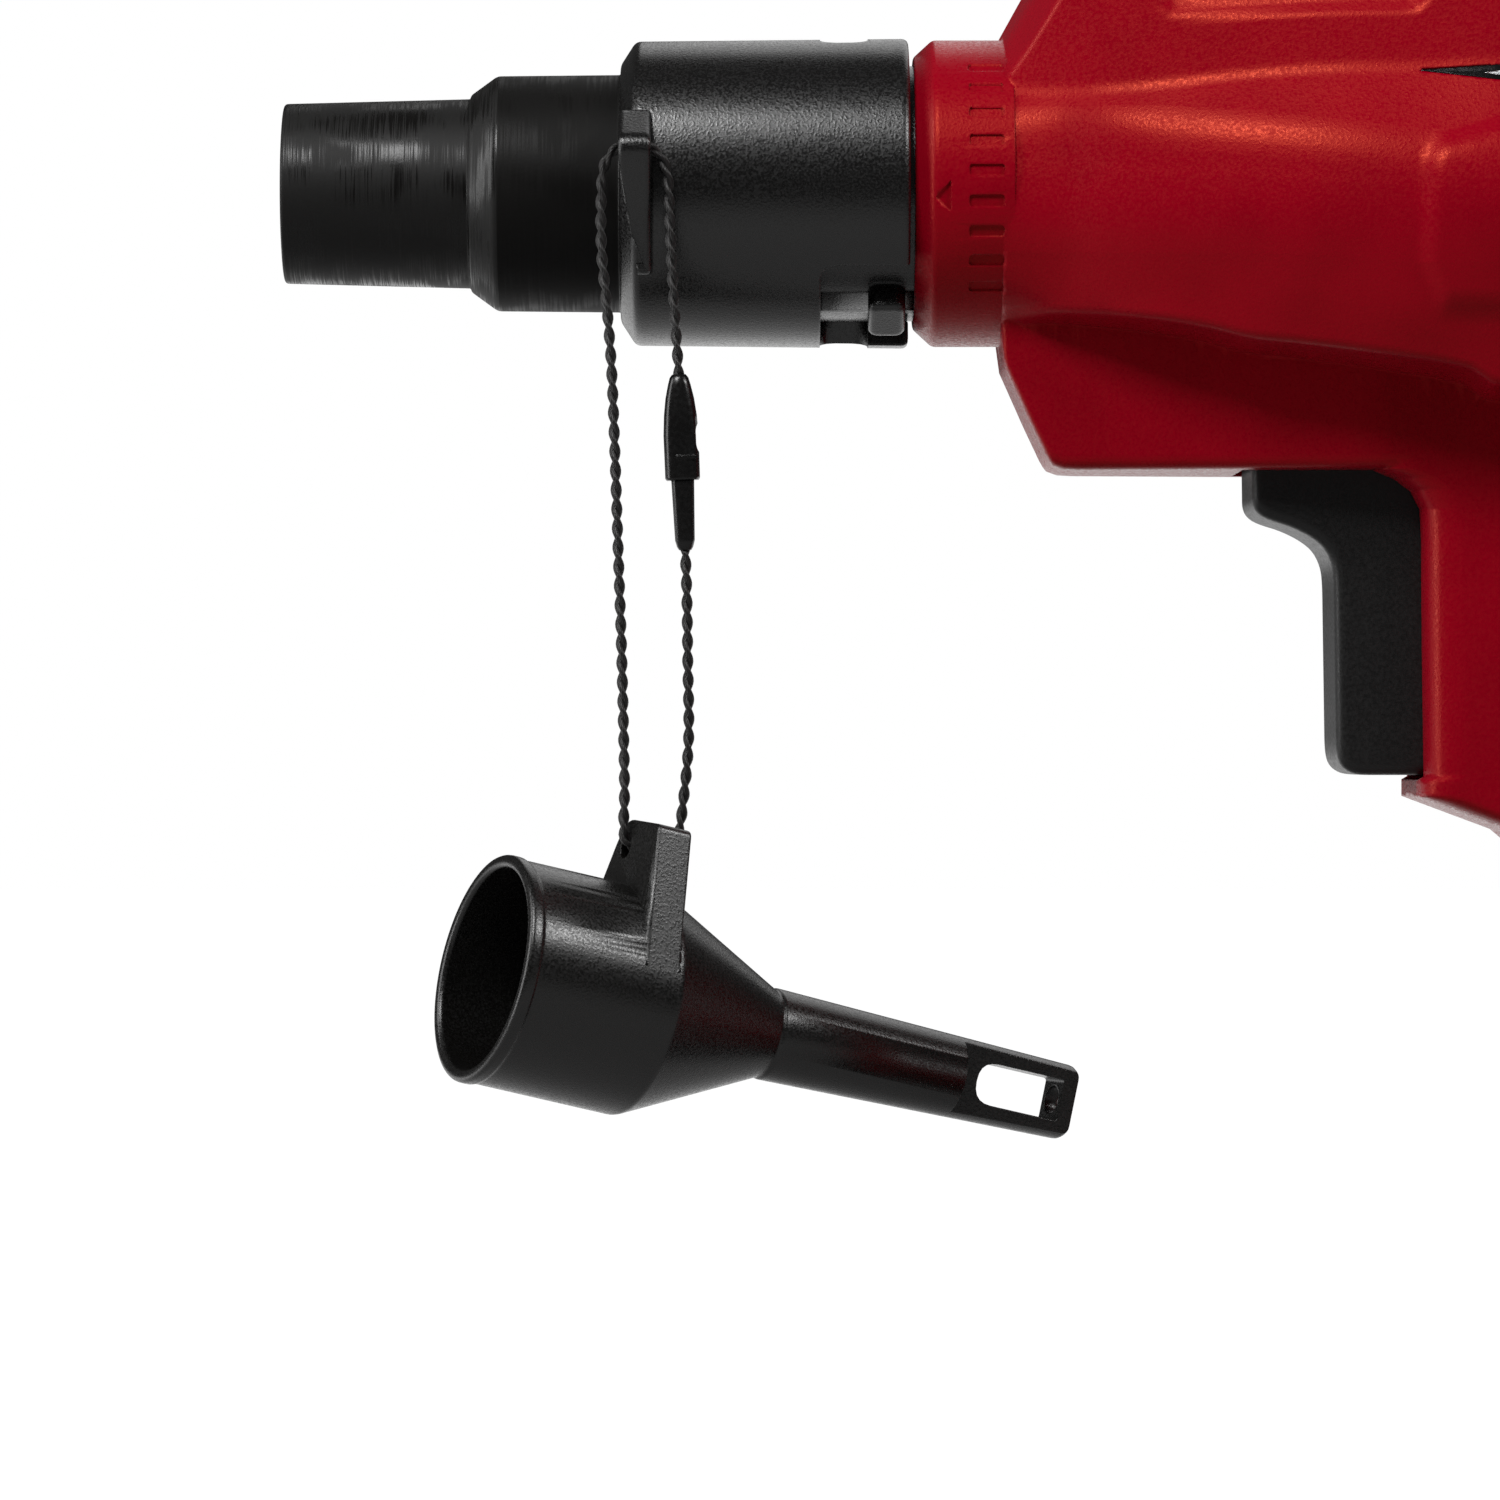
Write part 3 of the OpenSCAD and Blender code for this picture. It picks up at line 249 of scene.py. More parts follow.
def moulded(name, colour, roughness, grain, depth, edge=0.25, shade=0.8, spread=0.06, **surface):
    """Moulded thermoplastic: a broad gloss, the grain of a spark-eroded or blasted tool whose
    peaks are a little smoother, faint clouding of the dye, and edges rounded by the melt."""
    material, tree, shader = new_material(name, Roughness=roughness, **surface)
    place = add(tree, "ShaderNodeTexCoord").outputs["Object"]
    cloud = add(tree, "ShaderNodeTexNoise", {"Vector": place, "Scale": per_mm(14), "Detail": 4.0})
    dye = two_tone(tree, cloud.outputs["Fac"], shaded(colour, shade), colour, 0.3, 0.55)
    tree.links.new(dye, shader.inputs["Base Color"])
    grains = add(tree, "ShaderNodeTexNoise",
                 {"Vector": place, "Scale": per_mm(grain), "Detail": 2.5, "Roughness": 0.55})
    matt = add(tree, "ShaderNodeMapRange",
               {"Value": grains.outputs["Fac"], "From Min": 0.35, "From Max": 0.65,
                "To Min": roughness + spread, "To Max": roughness - spread})
    tree.links.new(matt.outputs[0], shader.inputs["Roughness"])
    soft = add(tree, "ShaderNodeBevel", {"Radius": edge * MM}, samples=4)
    bump = add(tree, "ShaderNodeBump",
               {"Height": grains.outputs["Fac"], "Distance": depth * MM, "Strength": 1.0,
                "Normal": soft.outputs[0]})
    tree.links.new(bump.outputs[0], shader.inputs["Normal"])
    return material


def oval_stack(levels, count=40):
    """Closed skin through stacked sections; each level is (height, half width in x, half depth
    in y, exponent), and its outline is |x/a|^n + |y/b|^n = 1."""
    z, a, b, power = (np.array(column, float)[:, None] for column in zip(*levels))
    angle = np.linspace(0, 2 * math.pi, count, endpoint=False)[None]
    x = a * np.sign(np.cos(angle)) * np.abs(np.cos(angle)) ** (2 / power)
    y = b * np.sign(np.sin(angle)) * np.abs(np.sin(angle)) ** (2 / power)
    return grid(np.stack([x, y, z + 0 * x], -1), wrap_v=True, caps=True)


def placed(shell, shift=(0, 0, 0), pitch=0.0, yaw=0.0):
    """The shell turned about Y by pitch, then about Z by yaw (degrees), then moved."""
    verts, faces = shell
    p, w = math.radians(pitch), math.radians(yaw)
    about_y = np.array([[math.cos(p), 0, math.sin(p)], [0, 1, 0], [-math.sin(p), 0, math.cos(p)]])
    about_z = np.array([[math.cos(w), -math.sin(w), 0], [math.sin(w), math.cos(w), 0], [0, 0, 1]])
    return verts @ (about_z @ about_y).T + np.array(shift, float), faces


def box(x0, x1, y0, y1, z0, z1):
    """A block as a two-row grid with closed ends."""
    loop = np.array([[x0, y0], [x1, y0], [x1, y1], [x0, y1]], float)
    return grid(np.stack([np.c_[loop, np.full(4, z)] for z in (z0, z1)]), wrap_v=True, caps=True)


def solid(shape):
    """The object itself, or a new one made from a shell."""
    return new_piece("solid", shape) if isinstance(shape, tuple) else shape


def combine(piece, join=(), cut=(), keep=()):
    """The piece with the solids in join added, those in cut taken away, and only what lies in
    keep left, by the Boolean modifier, and then made plain mesh. Each is an object or a shell,
    and all but the piece are used up."""
    piece = solid(piece)
    used = []
    for group, operation in ((join, "UNION"), (cut, "DIFFERENCE"), (keep, "INTERSECT")):
        for other in map(solid, group):
            step = piece.modifiers.new(operation, "BOOLEAN")
            step.operation = operation
            step.object = other
            step.solver = "MANIFOLD"
            used.append(other)
    own = piece.data.materials[:]
    made = bpy.data.meshes.new_from_object(piece.evaluated_get(bpy.context.evaluated_depsgraph_get()))
    made.materials.clear()
    for material in own:
        made.materials.append(material)
    made.polygons.foreach_set("material_index", np.zeros(len(made.polygons), int))
    piece.modifiers.clear()
    piece.data = made
    for other in used:
        bpy.data.objects.remove(other)
    if len(made.materials):
        even_normals(piece)
    return piece


# Acetal, moulded in a polished tool: a deep black with a small clear gloss.
clasp_black = moulded("acetal, moulded", "#100f0f", 0.26, 0.5, 0.006)
clasp_foot = np.array(cord_route[-1]) + [0, 0, AXIS]
clasp_lean = -2.1
socket_up = 8.55


def on_cord(shell, up=0.0):
    """A part of the clasp, drawn upright on its foot, raised by up and leaned with the cord."""
    verts, faces = shell
    return placed((verts + [0, 0, up], faces), clasp_foot, clasp_lean)


socket_levels = [(0, 2.0, 1.75, 3.2), (0.25, 2.12, 1.9, 3.2), (5.5, 2.15, 1.9, 3.2), (8, 2.0, 1.8, 3),
                 (10, 1.75, 1.6, 2.8), (11.6, 1.4, 1.4, 2.6), (12.5, 1.15, 1.2, 2.4), (12.9, 0.85, 0.9, 2.2)]
plug_levels = [(0, 0.75, 0.75, 2.2), (0.4, 1.0, 0.95, 2.4), (1.2, 1.2, 1.3, 3), (8.5, 1.4, 1.5, 3.4)]
window_levels = [(-0.35, 1.3, 1.0, 2.6), (0, 1.75, 1.45, 3.5), (4, 1.75, 1.45, 3.5)]
window_up = 5.1
window, window_faces = oval_stack(window_levels)
window = (np.stack([window[:, 2], window[:, 1], window[:, 0] + window_up], 1), window_faces)
throat = box(-1.4, 1.4, -1.2, 1.2, -1, 3.2)
ridge = box(-0.7, 1.9, -1.98, -1.6, 2.55, 2.95)
tongue = box(-1.2, 1.2, -1, 1, 8, 11)
clasp_socket = new_piece("clasp_socket_moulding", on_cord(oval_stack(socket_levels), socket_up),
                         material=clasp_black)
combine(clasp_socket, join=[on_cord(ridge, socket_up)],
        cut=[on_cord(part, socket_up) for part in (window, throat)])
clasp_plug = new_piece("clasp_plug_moulding", on_cord(oval_stack(plug_levels)), on_cord(tongue),
                       material=clasp_black)
ready(clasp_socket, "tether", "black_acetal", "clasp_socket")
ready(clasp_plug, "tether", "black_acetal", "clasp_plug")


# ---------------------------------------------------------------------------
# Studio: a pale floor that keeps the tool's shadow and brightens into the white surround, a key
# light high in front and to the left, a tall strip at the left for the rims, and two weaker
# lights, one high to the right and one behind.
# ---------------------------------------------------------------------------
floor_white, tree, shader = new_material("floor paper, white", Base_Color=linear("#989898"), Roughness=0.9)
rays = add(tree, "ShaderNodeLightPath")
place = add(tree, "ShaderNodeTexCoord").outputs["Object"]
away = add(tree, "ShaderNodeVectorMath", {0: place}, operation="LENGTH")
far_glow = add(tree, "ShaderNodeMapRange",
               {"Value": away.outputs["Value"], "From Min": 0.2, "From Max": 0.36,
                "To Min": 0.45, "To Max": 1.0})
behind = add(tree, "ShaderNodeSeparateXYZ", {0: place})
back_glow = add(tree, "ShaderNodeMapRange",
                {"Value": behind.outputs["Y"], "From Min": 0.0, "From Max": 0.3})
seen = add(tree, "ShaderNodeMath",
           {0: rays.outputs["Is Camera Ray"], 1: rays.outputs["Is Transmission Ray"]}, operation="MAXIMUM")
seen = add(tree, "ShaderNodeMath", {0: seen.outputs[0], 1: far_glow.outputs[0]}, operation="MULTIPLY")
mirrored = add(tree, "ShaderNodeMath",
               {0: rays.outputs["Is Glossy Ray"], 1: back_glow.outputs[0]}, operation="MULTIPLY")
glow = add(tree, "ShaderNodeMath", {0: seen.outputs[0], 1: mirrored.outputs[0]}, operation="MAXIMUM")
shader.inputs["Emission Color"].default_value = (1, 1, 1, 1)
tree.links.new(glow.outputs[0], shader.inputs["Emission Strength"])
reach = 6000.0
below = -0.3
sides = (-reach, reach)
corners = np.array([[[x, y, below] for x in sides] for y in sides])
table = new_piece("floor", grid(corners), material=floor_white)

world = bpy.data.worlds.new("studio")
world.use_nodes = True
scene.world = world
tree = world.node_tree
rays = add(tree, "ShaderNodeLightPath")
seen = add(tree, "ShaderNodeMath",
           {0: rays.outputs["Is Camera Ray"], 1: rays.outputs["Is Transmission Ray"]}, operation="MAXIMUM")
room_light = 0.05
level = add(tree, "ShaderNodeMath", {0: seen.outputs[0], 1: room_light}, operation="MAXIMUM")
background = tree.nodes["Background"]
background.inputs["Color"].default_value = (1, 1, 1, 1)
tree.links.new(level.outputs[0], background.inputs["Strength"])


def softbox(name, place, aim, width, height, power):
    """A rectangular area lamp at place, turned to aim (both mm)."""
    lamp = bpy.data.lights.new(name, "AREA")
    lamp.shape = "RECTANGLE"
    lamp.size = width * MM
    lamp.size_y = height * MM
    lamp.energy = power
    holder = bpy.data.objects.new(name, lamp)
    holder.location = Vector(place) * MM
    holder.rotation_euler = Vector(np.subtract(place, aim)).to_track_quat("Z", "Y").to_euler()
    scene.collection.objects.link(holder)


softbox("key", (-420, -620, 960), (-120, 0, 180), 340, 340, 6.3)
softbox("rim", (-1080, -140, 470), (-120, 0, 160), 350, 900, 5.0)
softbox("overhead", (700, -500, 900), (-120, 0, 150), 450, 250, 4.8)
softbox("back", (200, 900, 900), (-60, 0, 150), 900, 900, 2.5)


# ---------------------------------------------------------------------------
# Nozzle adapter: glass-filled nylon, moulded in one piece. A slim tip for air beds, a cone, a
# second step, and a wide collar that locks on the outlet with two L-shaped bayonet slots. A wing
# on the collar holds the cord.
# ---------------------------------------------------------------------------
def rounded_loop(points, radii, count=6):
    """A closed outline whose corners are rounded: each corner is the quadratic curve between the
    points at its radius before and after it."""
    p = np.array(points, float)
    r = np.broadcast_to(np.array(radii, float), len(p))[:, None]
    back = np.roll(p, 1, 0) - p
    ahead = np.roll(p, -1, 0) - p
    reach_back = np.linalg.norm(back, axis=1)[:, None]
    reach_ahead = np.linalg.norm(ahead, axis=1)[:, None]
    start = p + back / reach_back * np.minimum(r, 0.5 * reach_back)
    end = p + ahead / reach_ahead * np.minimum(r, 0.5 * reach_ahead)
    t = np.linspace(0, 1, count)[None, :, None]
    curve = (1 - t) ** 2 * start[:, None] + 2 * t * (1 - t) * p[:, None] + t**2 * end[:, None]
    loop = curve.reshape(-1, 2)
    return loop[np.linalg.norm(loop - np.roll(loop, 1, 0), axis=1) > 0.02]


def rounded_box(x0, x1, y0, y1, radius, count=6):
    """A rectangle with its corners rounded."""
    return rounded_loop([(x0, y0), (x1, y0), (x1, y1), (x0, y1)], radius, count)


def turned(outline, count=144, height=AXIS):
    """The closed outline (x, radius) carried round the air axis."""
    angle = np.linspace(0, 2 * math.pi, count, endpoint=False)[None]
    x, r = outline[:, :1], outline[:, 1:]
    points = np.stack([x + 0 * angle, r * np.cos(angle), height + r * np.sin(angle)], -1)
    return grid(points, wrap_u=True, wrap_v=True)


def layered(outline, levels, across="y"):
    """The closed outline carried through levels of (depth, how far it is drawn in), with the
    ends closed; across names the direction of the depth."""
    p = np.array(outline, float)
    tangent = np.roll(p, -1, 0) - np.roll(p, 1, 0)
    inward = np.stack([-tangent[:, 1], tangent[:, 0]], 1) / np.linalg.norm(tangent, axis=1)[:, None]
    area = np.sum(p[:, 0] * np.roll(p[:, 1], -1) - p[:, 1] * np.roll(p[:, 0], -1))
    depth, shift = np.array(levels, float).T
    flat = p[None] + np.sign(area) * inward[None] * shift[:, None, None]
    deep = np.broadcast_to(depth[:, None], flat.shape[:2])
    order = {"x": (deep, flat[..., 0], flat[..., 1]), "y": (flat[..., 0], deep, flat[..., 1]),
             "z": (flat[..., 0], flat[..., 1], deep)}[across]
    return grid(np.stack(order, -1), wrap_v=True, caps=True)


def slab(outline, low, high, edge=0.0, across="y", count=5):
    """The outline given a thickness, its rims rounded: at angle a the outline is drawn in by
    edge (1 - cos a) and lies edge (1 - sin a) from the face."""
    if not edge:
        return layered(outline, [(low, 0), (high, 0)], across)
    a = np.linspace(0, math.pi / 2, count)
    lower = [(low + edge * (1 - math.sin(t)), edge * (1 - math.cos(t))) for t in a]
    upper = [(high - edge * (1 - math.sin(t)), edge * (1 - math.cos(t))) for t in a]
    inner = 1.25 * edge
    return layered(outline, [(low, inner)] + lower[::-1] + upper + [(high, inner)], across)


def circle(centre, radius, count=48):
    """A closed outline of count points, at centre + radius (cos a, sin a)."""
    angle = np.linspace(0, 2 * math.pi, count, endpoint=False)
    return np.stack([centre[0] + radius * np.cos(angle), centre[1] + radius * np.sin(angle)], 1)


def rod(centre, radius, low, high, across="y", count=48, edge=0.0):
    """A round bar; centre is given in the two other directions."""
    return slab(circle(centre, radius, count), low, high, edge, across)


def round_the_axis(shell, turn):
    """A shell drawn as (x, sideways, radius), set at an angle up from the level near side."""
    a = math.radians(turn)
    x, s, r = shell[0].T
    place = [x, -r * math.cos(a) + s * math.sin(a), AXIS + r * math.sin(a) + s * math.cos(a)]
    return np.stack(place, 1), shell[1]


def radial_cut(x0, x1, angle0, angle1, r0, r1, corner, count):
    """A slot cutter between two angles up from the level near side: at each angle a rectangle in
    (x, radius), whose x sides draw in by a quarter circle near both ends."""
    angle = np.linspace(math.radians(angle0), math.radians(angle1), count)
    gap = np.minimum(np.abs(angle - angle[0]), np.abs(angle - angle[-1])) * (r0 + r1) / 2
    draw = corner - np.sqrt(np.maximum(corner**2 - np.maximum(corner - gap, 0) ** 2, 0))
    x = np.stack([x0 + draw, x1 - draw, x1 - draw, x0 + draw], 1)
    r = np.array([r0, r0, r1, r1])[None]
    points = np.stack([x, -r * np.cos(angle)[:, None], AXIS + r * np.sin(angle)[:, None]], -1)
    return grid(points, wrap_v=True, caps=True)


adapter_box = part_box("nozzle_adapter")
tip_x = adapter_box[0].x / MM
collar_back = adapter_box[1].x / MM
collar_len = 35.8
step2_len = 15.4
cone_len = 3.4
collar_x = collar_back - collar_len
step2_x = collar_x - step2_len
step1_x = step2_x - cone_len
seat_x = -150.8
bore = 16.2
# Nylon 6 with glass fibre, black, from a blasted tool: a low broad gloss broken by fine bright
# specks; the grain is drawn at 0.3 mm, about twice its size, so that it shows.
nylon = moulded("nylon 6, glass-filled, blasted", "#0d0c0c", 0.27, 0.32, 0.035, edge=0.5, spread=0.1,
                Specular_IOR_Level=0.9)


def rub(material, stripe, length, amount, low, high):
    """Fine rings rubbed round the air axis: noise that is drawn out along the ring, which takes
    the gloss from low to high in short patches."""
    tree = material.node_tree
    place = add(tree, "ShaderNodeTexCoord").outputs["Object"]
    drawn = add(tree, "ShaderNodeMapping", {"Vector": place, "Scale": (1, stripe / length, stripe / length)})
    rings = add(tree, "ShaderNodeTexNoise",
                {"Vector": drawn.outputs[0], "Scale": per_mm(stripe), "Detail": 3.0})
    patch = add(tree, "ShaderNodeTexNoise", {"Vector": place, "Scale": per_mm(6), "Detail": 1.0})
    both = add(tree, "ShaderNodeMath",
               {0: rings.outputs["Fac"], 1: patch.outputs["Fac"]}, operation="MULTIPLY")
    worn = add(tree, "ShaderNodeMapRange",
               {"Value": both.outputs[0], "From Min": 0.22, "From Max": 0.34, "To Min": low, "To Max": high})
    shader = tree.nodes["Principled BSDF"]
    tree.links.new(worn.outputs[0], shader.inputs["Roughness"])
    grain = shader.inputs["Normal"].links[0].from_socket
    scratch = add(tree, "ShaderNodeBump",
                  {"Height": rings.outputs["Fac"], "Distance": amount * MM, "Normal": grain})
    tree.links.new(scratch.outputs[0], shader.inputs["Normal"])


# The tip, polished by the valves it is pushed into, with rings of fine scratches; the second step
# keeps its first dull skin.
nylon_tip = moulded("nylon 6, rubbed by use", "#0f0e0d", 0.4, 0.6, 0.01, Specular_IOR_Level=0.35)
rub(nylon_tip, 0.16, 8.0, 0.006, 0.6, 0.25)
nylon_step = moulded("nylon 6, dull skin", "#0f0e0d", 0.5, 0.5, 0.012, Specular_IOR_Level=0.15)
rub(nylon_step, 0.3, 12.0, 0.008, 0.6, 0.45)
adapter_outline = rounded_loop(
    [(tip_x, 9), (tip_x, 11.2), (step1_x, 11.8), (step1_x + 0.15, 12.3), (step2_x, 14.65), (collar_x, 14.8),
     (collar_x, 16.0), (collar_x + 1.9, 18.95), (collar_back, 19.3), (collar_back, bore), (seat_x, bore),
     (seat_x, 12.6), (step2_x + 2, 12.6), (step1_x + 1, 9)],
    [0.4, 0.5, 0.2, 0.3, 0.5, 0.3, 0.5, 0.7, 0.9, 0.3, 0.3, 1, 1, 1])
adapter = new_piece("nozzle_adapter_moulding", turned(adapter_outline), material=nylon)
wing = rounded_loop([(-15, -11.2), (-16.4, -11.2), (-24.4, 3.3), (-24.1, 5.2), (-17.6, 9.0), (-13, 9)],
                    [0.1, 0.8, 1.2, 1.2, 0.8, 0.1])
wing_hole = (-20.9, AXIS + 4.2)
wing_slant = [(collar_x - 1, AXIS + 2.7), (collar_x + 0.04, AXIS + 2.7), (collar_x + 2.4, AXIS - 11.5),
              (collar_x - 1, AXIS - 11.5)]
wing_block = combine(slab(wing + [0, AXIS], collar_x + 0.02, collar_x + 4, 0.6, "x"),
                     cut=[slab(wing_slant, -30, -10)])
# The two legs of an L slot: x from the collar's back edge, last angle, corner radius, steps
slot_legs = [(-11, -5, -107, 2.0, 80), (-8, 3, -82, 1.0, 40)]
slot_start = -31.5
cut_in = 15
cut_out = 23
slots = [radial_cut(collar_back + x0, collar_back + x1, slot_start + turn, end + turn, cut_in, cut_out,
                    corner, count)
         for turn in (0, 180) for x0, x1, end, corner, count in slot_legs]
slots.append(rod(wing_hole, 1.3, collar_x - 1, collar_x + 5, "x", 24))
combine(adapter, join=[wing_block], cut=slots)
adapter.data.materials.append(nylon_tip)
adapter.data.materials.append(nylon_step)
centres = np.zeros(3 * len(adapter.data.polygons))
adapter.data.polygons.foreach_get("center", centres)
where = centres[::3] / MM
skin = np.where(where < step2_x + 0.3, 1, np.where(where < collar_x - 0.1, 2, 0))
adapter.data.polygons.foreach_set("material_index", skin)
ready(adapter, "adapter", "black_nylon", "nozzle_adapter")


# ---------------------------------------------------------------------------
# Outlet spigot: the black nylon tube that carries the adapter. An O-ring in its groove seals it
# and two rounded bayonet pins stand on its root.
# ---------------------------------------------------------------------------
ring_x = -127.2
spigot_r = 15.9
pin_foot = 14.5
pin_top = 19.0
pin_half = 3.6


def bayonet_pin(x0, x1, turn):
    """A pin with a crowned top, at an angle up from the level near side."""
    outline = rounded_box(x0, x1, -pin_half, pin_half, 1.45)
    return round_the_axis(slab(outline, pin_foot, pin_top, 0.8, "z"), turn)


spigot_outline = rounded_loop(
    [(-150, 13.4), (-150, spigot_r), (-146.2, spigot_r), (-146.2, 14.4), (-144.2, 14.4), (-144.2, spigot_r),
     (-113, spigot_r), (-113, 17.7), (-111, 17.7), (-111, 13.4)], 0.3, 4)
spigot = new_piece("outlet_spigot_tube", turned(spigot_outline), material=nylon)
pin_turns = (-61, 119)
combine(spigot, join=[bayonet_pin(ring_x - 5.7, ring_x - 1.1, turn) for turn in pin_turns])
ready(spigot, "inflator_body", "black_nylon", "outlet_spigot")


def dress(material, *names):
    """A CAD solid whose shape is right takes the material in each of its slots."""
    for name in names:
        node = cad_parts[name]
        for slot in node.material_slots:
            slot.material = material
        if not node.material_slots:
            node.data.materials.append(material)


# Nitrile rubber, moulded: near black, no gloss, with the bloom of its wax in faint clouds.
nitrile = moulded("nitrile rubber, moulded", "#141414", 0.7, 0.8, 0.01, shade=0.6)
dress(nitrile, "spigot_seal", "motor_mount", "piston_seal")


# ---------------------------------------------------------------------------
# Valve adapter: the small nylon funnel on the cord. A cup that fits over the nozzle's tip, a
# cone, a stem with a window through its flattened end, and a lug for the cord.
# ---------------------------------------------------------------------------
cup_len = 20.5
funnel_len = 18.3
stem_len = 41.8
cup_r = 13.95
stem_x = cup_len + funnel_len
total = stem_x + stem_len
valve_mouth = (-179.9, -30.4, AXIS - 95.8)
valve_pitch = 12.8
valve_yaw = 24


def on_valve(shell):
    """A shell drawn along X from the mouth of the cup, hung in its place."""
    return placed(shell, valve_mouth, valve_pitch, valve_yaw)


# The same nylon with a slightly finer blast: its gloss breaks into specks of 0.3 mm.
nylon_fine = moulded("nylon 6, glass-filled, fine blast", "#0e0d0c", 0.3, 0.3, 0.03, spread=0.1,
                     Specular_IOR_Level=0.75)
valve_outline = rounded_loop(
    [(0, 12.5), (0, 14.1), (1.6, 14.1), (1.8, 13.85), (cup_len, cup_r), (stem_x - 0.5, 5.5),
     (stem_x - 0.2, 5.75), (total, 4.7), (total, 1.8), (stem_x, 2.2), (cup_len - 1, 11.5)],
    [0.7, 0.7, 0.3, 0.3, 0.4, 0.3, 0.3, 0.8, 0.3, 2, 2], 5)
valve = new_piece("valve_adapter_moulding", on_valve(turned(valve_outline, 112, 0.0)), material=nylon_fine)
lug_hole = (0.45, 18.43)
lug_turn = math.radians(16)
lug_len = 18.2
lug_foot = cup_r * np.array([-math.cos(lug_turn), math.sin(lug_turn)])
lug_tip = lug_foot + lug_len * np.array([math.sin(lug_turn), math.cos(lug_turn)])
lug_outline = rounded_loop([lug_foot, lug_tip, (1.6, 21.9), (3.4, 19.4), (6.5, 12.5), (0, 12.4), (-9, 9)],
                           [0.1, 0.8, 1.6, 1.2, 1, 0.5, 0.5])
lug_x = cup_len - 5.1
half_flat = 2.6
half_window = 2.6
window_outline = rounded_box(total - 13.8, total - 1.9, -half_window, half_window, [2.5, 0.4, 0.4, 2.5])
flat_outline = rounded_box(total - 16.5, total + 2, -9, 9, 1.5)
cuts = [slab(window_outline, -10, 10), rod(lug_hole, 1.5, lug_x - 1, cup_len + 1, "x", 24),
        slab(flat_outline, -9, -half_flat), slab(flat_outline, half_flat, 9)]
combine(valve, join=[on_valve(slab(lug_outline, lug_x, cup_len - 0.6, 0.35, "x"))], cut=map(on_valve, cuts))
ready(valve, "valve", "black_nylon", "valve_adapter")


# ---------------------------------------------------------------------------
# Housing: two half shells of red ABS, split on the mid-plane and joined by eight screws from the
# right. A faceted barrel carries the air path, a keel under it the trigger, and a grip and a foot
# hold the switch and the battery. The mould is spark-eroded, so the skin has a leathery grain.
# ---------------------------------------------------------------------------
# ABS, spark-eroded: a deep red whose gloss is broken by a grain of 0.4 mm; the tint warms it.
red_abs = moulded("ABS, spark-eroded", "#9c001b", 0.34, 0.4, 0.035, edge=0.35, shade=0.95, spread=0.12,
                  Specular_IOR_Level=0.65, Specular_Tint=linear("#ff7048"))


def between(x, rows):
    """The values at x from rows of (x, values), on cubics that never overshoot: the slope at a
    row is the harmonic mean of those on its two sides, or 0 where they differ in sign."""
    t = np.array(rows, float)
    span = np.diff(t[:, 0])[:, None]
    rise = np.diff(t[:, 1:], axis=0) / span
    same = rise[:-1] * rise[1:] > 0
    mean = 2 * rise[:-1] * rise[1:] / np.where(same, rise[:-1] + rise[1:], 1)
    slope = np.vstack([rise[:1], np.where(same, mean, 0), rise[-1:]])
    k = np.clip(np.searchsorted(t[:, 0], x, side="right") - 1, 0, len(span) - 1)
    s = ((x - t[k, 0]) / span[k, 0])[:, None]
    start = (1 + 2 * s) * (1 - s) ** 2 * t[k, 1:] + s * (1 - s) ** 2 * span[k] * slope[k]
    return start + s**2 * (3 - 2 * s) * t[k + 1, 1:] + s**2 * (s - 1) * span[k] * slope[k + 1]


def loft(stations, corners, radii, grow=0.0, along="x", spacing=4, relief=None):
    """A closed solid that is its own mirror image in the mid-plane. At each station the half
    outline runs through its corners from the middle round to the middle again; grow moves every
    side out by that much, each corner is a quadratic curve within its radius, and relief gives
    how far the skin stands out sideways at (station, height)."""
    p = np.array(corners, float)
    sides = np.diff(p, axis=1)
    sides /= np.linalg.norm(sides, axis=2)[..., None]
    normal = np.stack([-sides[..., 1], sides[..., 0]], -1)
    outer = np.array([0.0, 1.0] if along == "x" else [-1.0, 0.0]) + 0 * p[:, :1]
    before = np.concatenate([outer, normal], 1)
    after = np.concatenate([normal, -outer], 1)
    shift = (before + after) / (1 + np.sum(before * after, -1, keepdims=True))
    shift[:, 0] = outer[:, 0]
    shift[:, -1] = -outer[:, 0]
    p = p + grow * shift
    most = 0.46  # share of a side that a corner may take
    rows = [p[:, :1]]
    spread = np.linspace(0, 1, spacing + 1)
    t = np.linspace(0, 1, 6)
    for k in range(1, p.shape[1] - 1):
        back = p[:, k - 1] - p[:, k]
        ahead = p[:, k + 1] - p[:, k]
        start = p[:, k] + back * np.minimum(radii[k] / np.linalg.norm(back, axis=1), most)[:, None]
        end = p[:, k] + ahead * np.minimum(radii[k] / np.linalg.norm(ahead, axis=1), most)[:, None]
        rows += [(rows[-1][:, -1] * (1 - s) + start * s)[:, None] for s in spread[1:-1]]
        rows += [((1 - s) ** 2 * start + 2 * s * (1 - s) * p[:, k] + s * s * end)[:, None] for s in t]
    rows += [(rows[-1][:, -1] * (1 - s) + p[:, -1] * s)[:, None] for s in spread[1:]]
    half = np.concatenate(rows, 1)
    ring = np.concatenate([half, half[:, -2:0:-1] * ([-1, 1] if along == "x" else [1, -1])], 1)
    far = np.broadcast_to(np.array(stations, float)[:, None], ring.shape[:2])
    if along == "x":
        out = ring[..., 0] + (np.sign(ring[..., 0]) * relief(far, ring[..., 1]) if relief else 0)
        return grid(np.stack([far, out, AXIS + ring[..., 1]], -1), wrap_v=True, caps=True)
    return grid(np.stack([ring[..., 0], ring[..., 1], AXIS + far], -1), wrap_v=True, caps=True)


